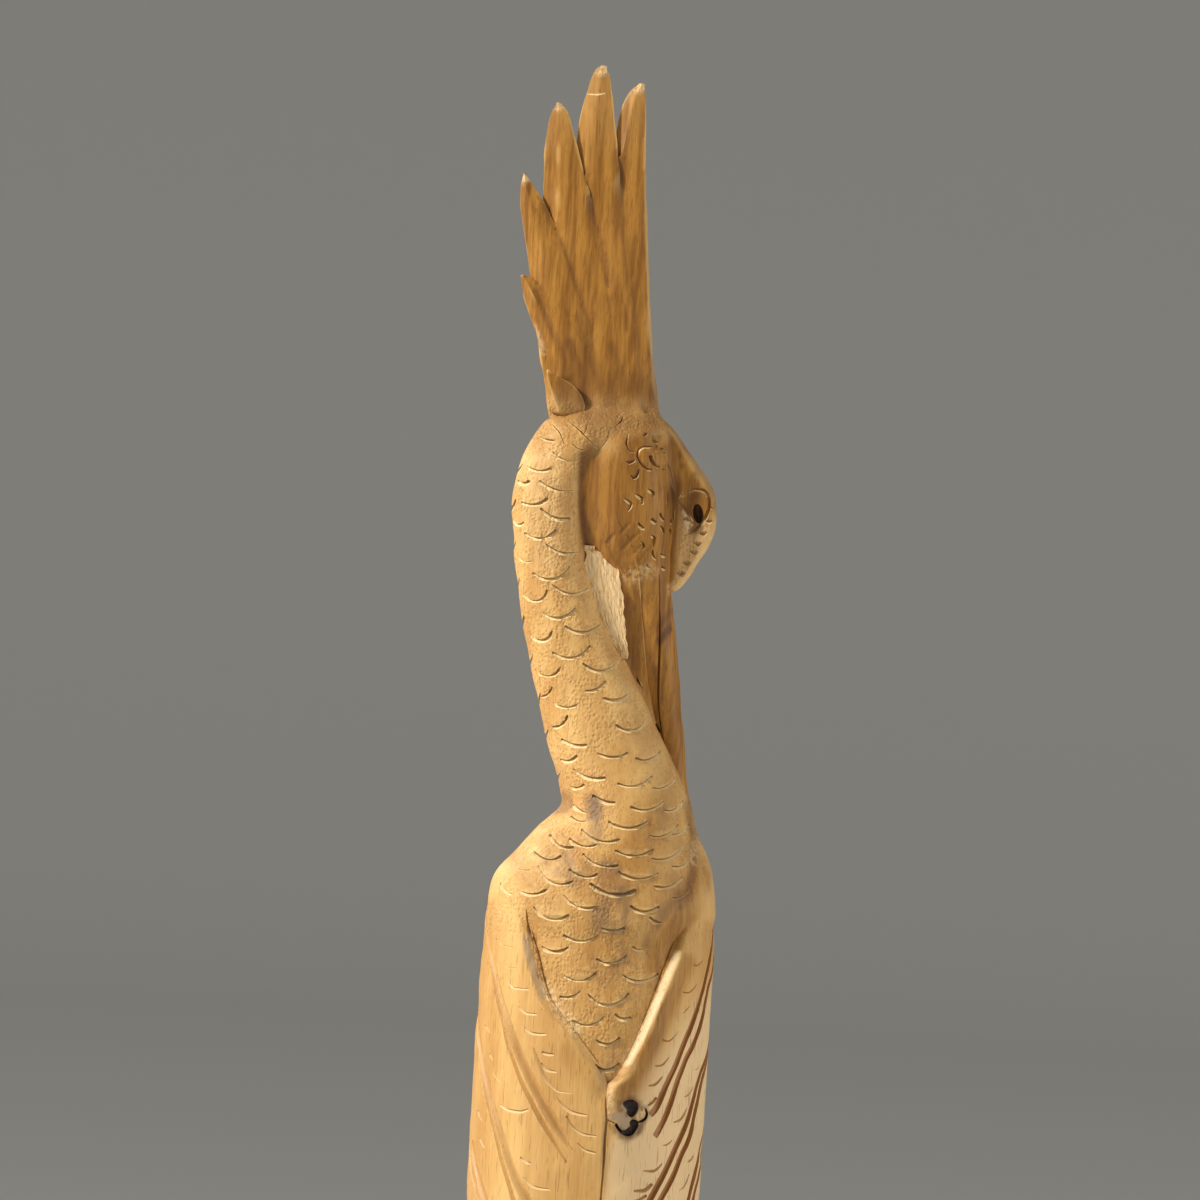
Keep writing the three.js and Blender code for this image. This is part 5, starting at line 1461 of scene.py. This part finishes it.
def finish_mesh(bird):
    """Turns the bird from the drawn face to its own frame, in metres."""
    mesh = bird.data
    mark_wood(mesh)
    points = read(mesh.vertices, "co", 3) @ turned(-DRAWN_FACE_TURN).T * MM
    mesh.vertices.foreach_set("co", points.astype(np.float32).ravel())
    mesh.polygons.foreach_set("use_smooth", np.ones(len(mesh.polygons), bool))
    mesh.polygons.foreach_set("material_index", np.zeros(len(mesh.polygons), np.int32))
    mesh.set_sharp_from_angle(angle=math.radians(32))
    mesh.update()


# What a user can change
class HeronSizes(bpy.types.PropertyGroup):
    scale_depth: bpy.props.FloatProperty(
        name="Scale cut depth", description="Depth of the stop cuts under the scales, in mm",
        default=0.6, min=0.2, max=1.2)
    channel_width: bpy.props.FloatProperty(
        name="Channel width", description="Width of the channels gouged in the wings, in mm",
        default=2.6, min=1.5, max=4.5)
    channel_depth: bpy.props.FloatProperty(
        name="Channel depth", description="Depth of the channels gouged in the wings, in mm",
        default=1.2, min=0.5, max=2.0)


def choice(name, description, value):
    """A colour that the user can change."""
    return bpy.props.FloatVectorProperty(
        name=name, description=description, subtype="COLOR", default=value, min=0, max=1)


class HeronColours(bpy.types.PropertyGroup):
    honey: choice("Honey wood", "Main colour of the seasoned wood", (0.57, 0.31, 0.095))
    late_wood: choice("Late wood", "Darker streaks of the grain", (0.40, 0.185, 0.048))
    # Also used for painted highlights on ridges and among the punched scales.
    early_wood: choice("Early wood", "Paler streaks of the grain", (0.75, 0.49, 0.19))
    heart: choice("Heartwood", "Brown wood of head and crest", (0.225, 0.092, 0.014))
    heart_pale: choice("Pale heartwood", "Paler streaks of head and crest", (0.43, 0.2, 0.034))
    # Also used for the painted light on the neck's left side and on the comb's low rim.
    sapwood: choice("Sapwood", "Paler wood low on the right wing", (0.82, 0.61, 0.345))
    # Besides dark wax, this colour paints shade: under cut walls that face down, in hollows, and in the
    # dark marks that stand for shade.
    cut: choice("Cuts", "Dark wax and dust held in the cuts", (0.12, 0.045, 0.012))
    # Red-brown of the channel floors, also painted shade in the right wing's channels and crescents.
    ruddy_and_shade: choice("Channel floors", "Red-brown floors of the channels", (0.37, 0.145, 0.035))
    edge: choice("Edges", "Pale edges where light catches the cuts", (0.88, 0.66, 0.34))
    raw: choice("Raw wood", "Pale wood where it is torn or worn", (0.75, 0.535, 0.285))
    stain: choice("Stains", "Purple-grey stains by knots and crest", (0.12, 0.072, 0.055))
    knot: choice("Knot", "Black rotten part of the knot", (0.012, 0.008, 0.007))
    knot_lobe: choice("Knot's lobe", "Grey wood left in the knot", (0.38, 0.27, 0.165))


class HERON_OT_carve(bpy.types.Operator):
    """Carve the heron from one piece of wood"""
    bl_idname = "heron.carve"
    bl_label = "Carve heron"

    def execute(self, context):
        bird = carve(context.scene.heron_sizes)
        finish_mesh(bird)
        bird.data.materials.clear()
        bird.data.materials.append(carved_wood(context.scene.heron_colours))
        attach(bird, "root")
        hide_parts("heron")
        return {"FINISHED"}


# The finish
class Nodes:
    """Short ways to add and join the nodes of a material."""

    def __init__(self, material):
        material.use_nodes = True
        self.tree = material.node_tree
        self.shader = self.tree.nodes["Principled BSDF"]
        coordinates = self.tree.nodes.new("ShaderNodeTexCoord")
        self.place = coordinates.outputs["Object"]

    def put(self, socket, value):
        """Joins a socket to another, or sets it to a number or a colour."""
        if isinstance(value, bpy.types.NodeSocket):
            self.tree.links.new(value, socket)
        elif isinstance(value, (int, float)):
            socket.default_value = value
        else:
            socket.default_value = (*value, 1)[:len(socket.default_value)]

    def stretched(self, scale, turn=(0, 0, 0)):
        """The place, scaled along its axes and turned."""
        node = self.tree.nodes.new("ShaderNodeMapping")
        self.tree.links.new(self.place, node.inputs["Vector"])
        node.inputs["Scale"].default_value = scale
        node.inputs["Rotation"].default_value = turn
        return node.outputs["Vector"]

    def noise(self, scale, vector=None, detail=3.0, rough=0.55, distortion=0.0):
        node = self.tree.nodes.new("ShaderNodeTexNoise")
        self.tree.links.new(vector or self.place, node.inputs["Vector"])
        for name, value in (("Scale", scale), ("Detail", detail), ("Roughness", rough),
                            ("Distortion", distortion)):
            node.inputs[name].default_value = value
        return node.outputs["Fac"]

    def cells(self, scale, vector=None):
        """The distance to the middle of the nearest cell."""
        node = self.tree.nodes.new("ShaderNodeTexVoronoi")
        self.tree.links.new(vector or self.place, node.inputs["Vector"])
        node.inputs["Scale"].default_value = scale
        return node.outputs["Distance"]

    def rings(self, scale, vector, distortion):
        node = self.tree.nodes.new("ShaderNodeTexWave")
        node.wave_type = "RINGS"
        node.rings_direction = "Z"
        self.tree.links.new(vector, node.inputs["Vector"])
        for name, value in (("Scale", scale), ("Distortion", distortion), ("Detail", 2.0),
                            ("Detail Scale", 1.2)):
            node.inputs[name].default_value = value
        return node.outputs["Fac"]

    def mark(self, name):
        """An attribute of the wood by name."""
        node = self.tree.nodes.new("ShaderNodeAttribute")
        node.attribute_name = name
        return node.outputs["Fac"]

    def maths(self, operation, *values, clamp=False):
        node = self.tree.nodes.new("ShaderNodeMath")
        node.operation = operation
        node.use_clamp = clamp
        for socket, value in zip(node.inputs, values):
            self.put(socket, value)
        return node.outputs[0]

    def span(self, value, low, high, to_low=0.0, to_high=1.0):
        """The value's share between low and high, between the two targets, held at both ends."""
        node = self.tree.nodes.new("ShaderNodeMapRange")
        node.interpolation_type = "SMOOTHSTEP"
        for socket, number in zip(node.inputs, (value, low, high, to_low, to_high)):
            self.put(socket, number)
        return node.outputs["Result"]

    def blend(self, share, first, second, kind="MIX"):
        node = self.tree.nodes.new("ShaderNodeMix")
        node.data_type = "RGBA"
        node.blend_type = kind
        for name, value in (("Factor_Float", share), ("A_Color", first), ("B_Color", second)):
            self.put(next(i for i in node.inputs if i.identifier == name), value)
        return next(o for o in node.outputs if o.identifier == "Result_Color")

    def bump(self, height, strength, distance, normal=None):
        node = self.tree.nodes.new("ShaderNodeBump")
        node.inputs["Strength"].default_value = strength
        node.inputs["Distance"].default_value = distance
        self.put(node.inputs["Height"], height)
        if normal:
            self.tree.links.new(normal, node.inputs["Normal"])
        return node.outputs["Normal"]


def carved_wood(colours):
    """Seasoned wood: grain along the log, cuts and hollows with painted shade and painted highlights,
    punched scales, stains and raw patches.
    """
    material = bpy.data.materials.new("carved_wood")
    n = Nodes(material)
    along = n.stretched((1, 1, 0.07), (0.02, -0.03, 0))
    streaks = n.noise(300, along, 4, 0.6, 0.3)
    fibres = n.noise(1700, n.stretched((1, 1, 0.035)), 2, 0.6)
    rings = n.rings(46, n.stretched((1, 0.8, 0.03), (0.03, 0.02, 0)), 2.5)
    patches = n.noise(28, n.stretched((1, 1, 0.4)), 3, 0.5)
    grain = n.maths("ADD", n.maths("MULTIPLY", streaks, 0.5), n.maths("MULTIPLY", rings, 0.2))
    grain = n.maths("ADD", grain, n.maths("MULTIPLY", fibres, 0.3))
    colour = n.blend(n.span(grain, 0.34, 0.68), colours.late_wood, colours.early_wood)
    colour = n.blend(0.55, colour, colours.honey)
    colour = n.blend(n.span(patches, 0.35, 0.7, 0, 0.35), colour, colours.early_wood)
    lines = n.noise(760, along, 3, 0.6, 0.2)
    veins = n.maths("ADD", n.maths("MULTIPLY", lines, 0.5), n.maths("MULTIPLY", grain, 0.5))
    brown = n.blend(n.span(veins, 0.36, 0.64), colours.heart, colours.heart_pale)
    colour = n.blend(n.mark("tone"), colour, brown)
    # Paler wood, with painted light on the neck's left side and the comb's low rim.
    colour = n.blend(n.maths("MULTIPLY", n.mark("pale"), 0.75), colour, colours.sapwood)

    pores = n.span(n.noise(2600, n.stretched((1, 1, 0.045)), 1, 0.5), 0.62, 0.70)
    colour = n.blend(n.maths("MULTIPLY", pores, 0.4), colour, colours.cut)

    punches = n.span(n.cells(950, n.stretched((1, 1, 0.9))), 0.1, 0.7)
    grit = n.noise(1300, None, 2, 0.6)
    sparse = n.span(n.noise(240, None, 2, 0.5), 0.3, 0.6)
    punched = n.maths("MULTIPLY", n.mark("stipple"), sparse)
    # Painted shade in the punch marks' pits, and pale specks among them as painted highlights.
    painted_pit_shade = n.maths("MULTIPLY", n.maths("SUBTRACT", 1, punches), punched)
    colour = n.blend(n.maths("MULTIPLY", painted_pit_shade, 0.35), colour, colours.late_wood)
    painted_glints = n.maths("MULTIPLY", n.span(grit, 0.52, 0.7), punched)
    colour = n.blend(n.maths("MULTIPLY", painted_glints, 0.4), colour, colours.early_wood)

    # Painted shade on cut walls that face down and a painted highlight on cut walls that face up, by the
    # true normal.
    geometry = n.tree.nodes.new("ShaderNodeNewGeometry")
    facing = n.tree.nodes.new("ShaderNodeSeparateXYZ")
    n.tree.links.new(geometry.outputs["True Normal"], facing.inputs[0])
    down = n.span(facing.outputs["Z"], 0.1, -0.35)
    cut = n.mark("cut")
    colour = n.blend(n.maths("MULTIPLY", cut, n.maths("MULTIPLY", down, 0.7), clamp=True), colour,
                     colours.cut)
    up = n.span(facing.outputs["Z"], 0.12, 0.5)
    colour = n.blend(n.maths("MULTIPLY", cut, n.maths("MULTIPLY", up, 0.9), clamp=True), colour,
                     colours.edge)

    # Darker in hollows, partly the dark wax held there and partly painted shade; paler on ridges as a
    # painted highlight.
    sunk = n.mark("hollow")
    colour = n.blend(n.span(sunk, 0.2, 1, 0, 0.5), colour, colours.cut)
    colour = n.blend(n.span(sunk, -0.5, -1, 0, 0.5), colour, colours.early_wood)
    # Red-brown floors, with painted shade in the right wing's channels and crescents.
    colour = n.blend(n.maths("MULTIPLY", n.mark("ruddy_and_shade"), 0.85), colour, colours.ruddy_and_shade)

    uneven = n.span(n.noise(190, n.stretched((1, 1, 0.45)), 4, 0.6), 0.3, 0.62)
    stained = n.maths("MULTIPLY", n.mark("stain"), uneven)
    colour = n.blend(stained, colour, colours.stain)
    colour = n.blend(n.maths("MULTIPLY", n.mark("dark"), n.span(uneven, 0, 1, 0.6, 1)), colour,
                     colours.cut)

    splinters = n.noise(1500, n.stretched((1, 1, 0.12), (0, 0.35, 0)), 3, 0.6)
    torn = n.mark("torn")
    bare = n.maths("MAXIMUM", torn, n.maths("MULTIPLY", n.mark("raw"),
                                           n.span(n.noise(700, None, 3, 0.6), 0.36, 0.56)))
    pale = n.blend(n.span(splinters, 0.3, 0.52, 0.15, 1), colours.honey, colours.raw)
    pale = n.blend(n.span(uneven, 0.3, 0, 0, 0.4), pale, colours.late_wood)
    colour = n.blend(bare, colour, pale)

    colour = n.blend(n.maths("MULTIPLY", n.mark("grey"), n.span(streaks, 0.2, 0.6, 0.7, 1)), colour,
                     colours.knot_lobe)
    charred = n.blend(n.span(grit, 0.45, 0.75, 0, 0.5), colours.knot, colours.cut)
    colour = n.blend(n.mark("char"), colour, charred)
    n.put(n.shader.inputs["Base Color"], colour)

    rough = n.span(streaks, 0.3, 0.7, 0.42, 0.56)
    rough = n.maths("ADD", rough, n.maths("MULTIPLY", bare, 0.3), clamp=True)
    rough = n.maths("ADD", rough, n.maths("MULTIPLY", punched, 0.12), clamp=True)
    n.put(n.shader.inputs["Roughness"], rough)
    n.shader.inputs["Specular IOR Level"].default_value = 0.28

    normal = n.bump(n.noise(130, None, 2, 0.5), 0.5, 0.0003)
    normal = n.bump(n.maths("ADD", n.maths("MULTIPLY", fibres, 0.6), streaks), 0.5, 0.00012, normal)
    height = n.maths("ADD", n.maths("SUBTRACT", punches, 1), grit)
    normal = n.bump(n.maths("MULTIPLY", height, punched), 0.9, 0.00024, normal)
    normal = n.bump(n.maths("MULTIPLY", splinters, bare), 0.9, 0.0004, normal)
    n.put(n.shader.inputs["Normal"], normal)
    return material


# Lights: name, place, target, power, size and colour. All places are in metres.
LAMPS = [
    ("key", (-1.49, -0.32, 1.31), (0, 0, 0.36), 45, 0.22, (1.0, 0.955, 0.865)),
    ("fill", (1.7, -0.94, 0.7), (0, 0, 0.3), 14.5, 1.2, (1.0, 0.95, 0.88)),
    ("rim", (-0.8, 1.2, 1.0), (0, 0, 0.35), 8, 0.6, (1.0, 0.96, 0.9)),
]
SKY_COLOUR = (0.97, 0.94, 0.88, 1)
SKY_STRENGTH = 0.34
# The camera: a long lens far off, because the photograph was measured as a parallel view.
LENS = 500
CAMERA_DISTANCE = 5.0
CAMERA_AIM = (-0.0058, 0.3478)
CAMERA_ROLL = 3.5
# The sheet: half its width, its near edge, where it starts to bend, and its top. It stands far
# enough back for a camera to see the bird from behind as well.
SHEET_HALF = 10
SHEET_NEAR = -10
SHEET_BEND_START = 8.5
SHEET_BEND = 1.2
SHEET_TOP = 8


class HERON_OT_studio(bpy.types.Operator):
    """Set up the floor, the backdrop, the lights and the camera"""
    bl_idname = "heron.studio"
    bl_label = "Set up studio"

    def execute(self, context):
        scene = context.scene
        plain_sheet()
        for settings in LAMPS:
            lamp(*settings)
        world = scene.world or bpy.data.worlds.new("studio")
        scene.world = world
        world.use_nodes = True
        sky = world.node_tree.nodes["Background"]
        sky.inputs["Color"].default_value = SKY_COLOUR
        sky.inputs["Strength"].default_value = SKY_STRENGTH
        scene.view_settings.view_transform = "Standard"
        camera = bpy.data.cameras.new("camera")
        camera.lens = LENS
        camera.sensor_width = 36
        camera.clip_start = 0.05
        holder = bpy.data.objects.new("camera", camera)
        scene.collection.objects.link(holder)
        scene.camera = holder
        aim_camera(holder)
        return {"FINISHED"}


def aim_camera(holder):
    """Level with the neck, square to the drawn face, and rolled as the photograph is."""
    turn = math.radians(-DRAWN_FACE_TURN)
    roll = math.radians(CAMERA_ROLL)
    right = Vector((math.cos(turn), math.sin(turn), 0))
    ahead = Vector((-math.sin(turn), math.cos(turn), 0))
    up = Vector((0, 0, 1))
    aim = right * CAMERA_AIM[0] + up * CAMERA_AIM[1]
    x = right * math.cos(roll) + up * math.sin(roll)
    y = up * math.cos(roll) - right * math.sin(roll)
    basis = Matrix((x, y, -ahead)).transposed().to_4x4()
    holder.matrix_world = Matrix.Translation(aim - ahead * CAMERA_DISTANCE) @ basis


def plain_sheet():
    """A floor that runs up into a backdrop: a flat, a quarter circle, and an upright."""
    turn = np.linspace(0, np.pi / 2, 24)
    wall = SHEET_BEND_START + SHEET_BEND
    y = np.concatenate([[SHEET_NEAR], SHEET_BEND_START + SHEET_BEND * np.sin(turn), [wall]])
    z = np.concatenate([[0], SHEET_BEND * (1 - np.cos(turn)), [SHEET_TOP]])
    x = np.array([-SHEET_HALF, SHEET_HALF], float)
    grid = np.stack([np.broadcast_to(x[None, :], (len(y), 2)),
                     np.broadcast_to(y[:, None], (len(y), 2)),
                     np.broadcast_to(z[:, None], (len(y), 2))], -1).reshape(-1, 3)
    index = np.arange(len(grid)).reshape(len(y), 2)
    faces = np.stack([index[:-1, 0], index[:-1, 1], index[1:, 1], index[1:, 0]], -1)
    mesh = bpy.data.meshes.new("floor")
    mesh.from_pydata(grid.tolist(), [], faces.tolist())
    mesh.polygons.foreach_set("use_smooth", np.ones(len(mesh.polygons), bool))
    material = bpy.data.materials.new("pale_floor")
    material.use_nodes = True
    shader = material.node_tree.nodes["Principled BSDF"]
    shader.inputs["Base Color"].default_value = (0.66, 0.66, 0.65, 1)
    shader.inputs["Roughness"].default_value = 0.9
    mesh.materials.append(material)
    made = bpy.data.objects.new("floor", mesh)
    bpy.context.scene.collection.objects.link(made)
    return made


def lamp(name, place, target, power, size, colour):
    """A square area light at a place, turned to a target."""
    light = bpy.data.lights.new(name, "AREA")
    light.energy = power
    light.size = size
    light.color = colour
    made = bpy.data.objects.new(name, light)
    made.location = place
    made.rotation_euler = (Vector(target) - Vector(place)).to_track_quat("-Z", "Y").to_euler()
    bpy.context.scene.collection.objects.link(made)
    return made


class HERON_PT_panel(bpy.types.Panel):
    bl_idname = "HERON_PT_panel"
    bl_label = "Heron"
    bl_space_type = "VIEW_3D"
    bl_region_type = "UI"
    bl_category = "Heron"

    def draw(self, context):
        for group in (context.scene.heron_sizes, context.scene.heron_colours):
            for name in group.__annotations__:
                self.layout.prop(group, name)
        for operator in OPERATORS:
            self.layout.operator(operator.bl_idname)


OPERATORS = (HERON_OT_carve, HERON_OT_studio)
CLASSES = (HeronSizes, HeronColours, *OPERATORS, HERON_PT_panel)


def register():
    for kind in CLASSES:
        bpy.utils.register_class(kind)
    bpy.types.Scene.heron_sizes = bpy.props.PointerProperty(type=HeronSizes)
    bpy.types.Scene.heron_colours = bpy.props.PointerProperty(type=HeronColours)


def unregister():
    del bpy.types.Scene.heron_colours
    del bpy.types.Scene.heron_sizes
    for kind in reversed(CLASSES):
        bpy.utils.unregister_class(kind)


def main():
    register()
    bpy.ops.heron.carve()
    bpy.ops.heron.studio()


if __name__ == "__main__":
    main()
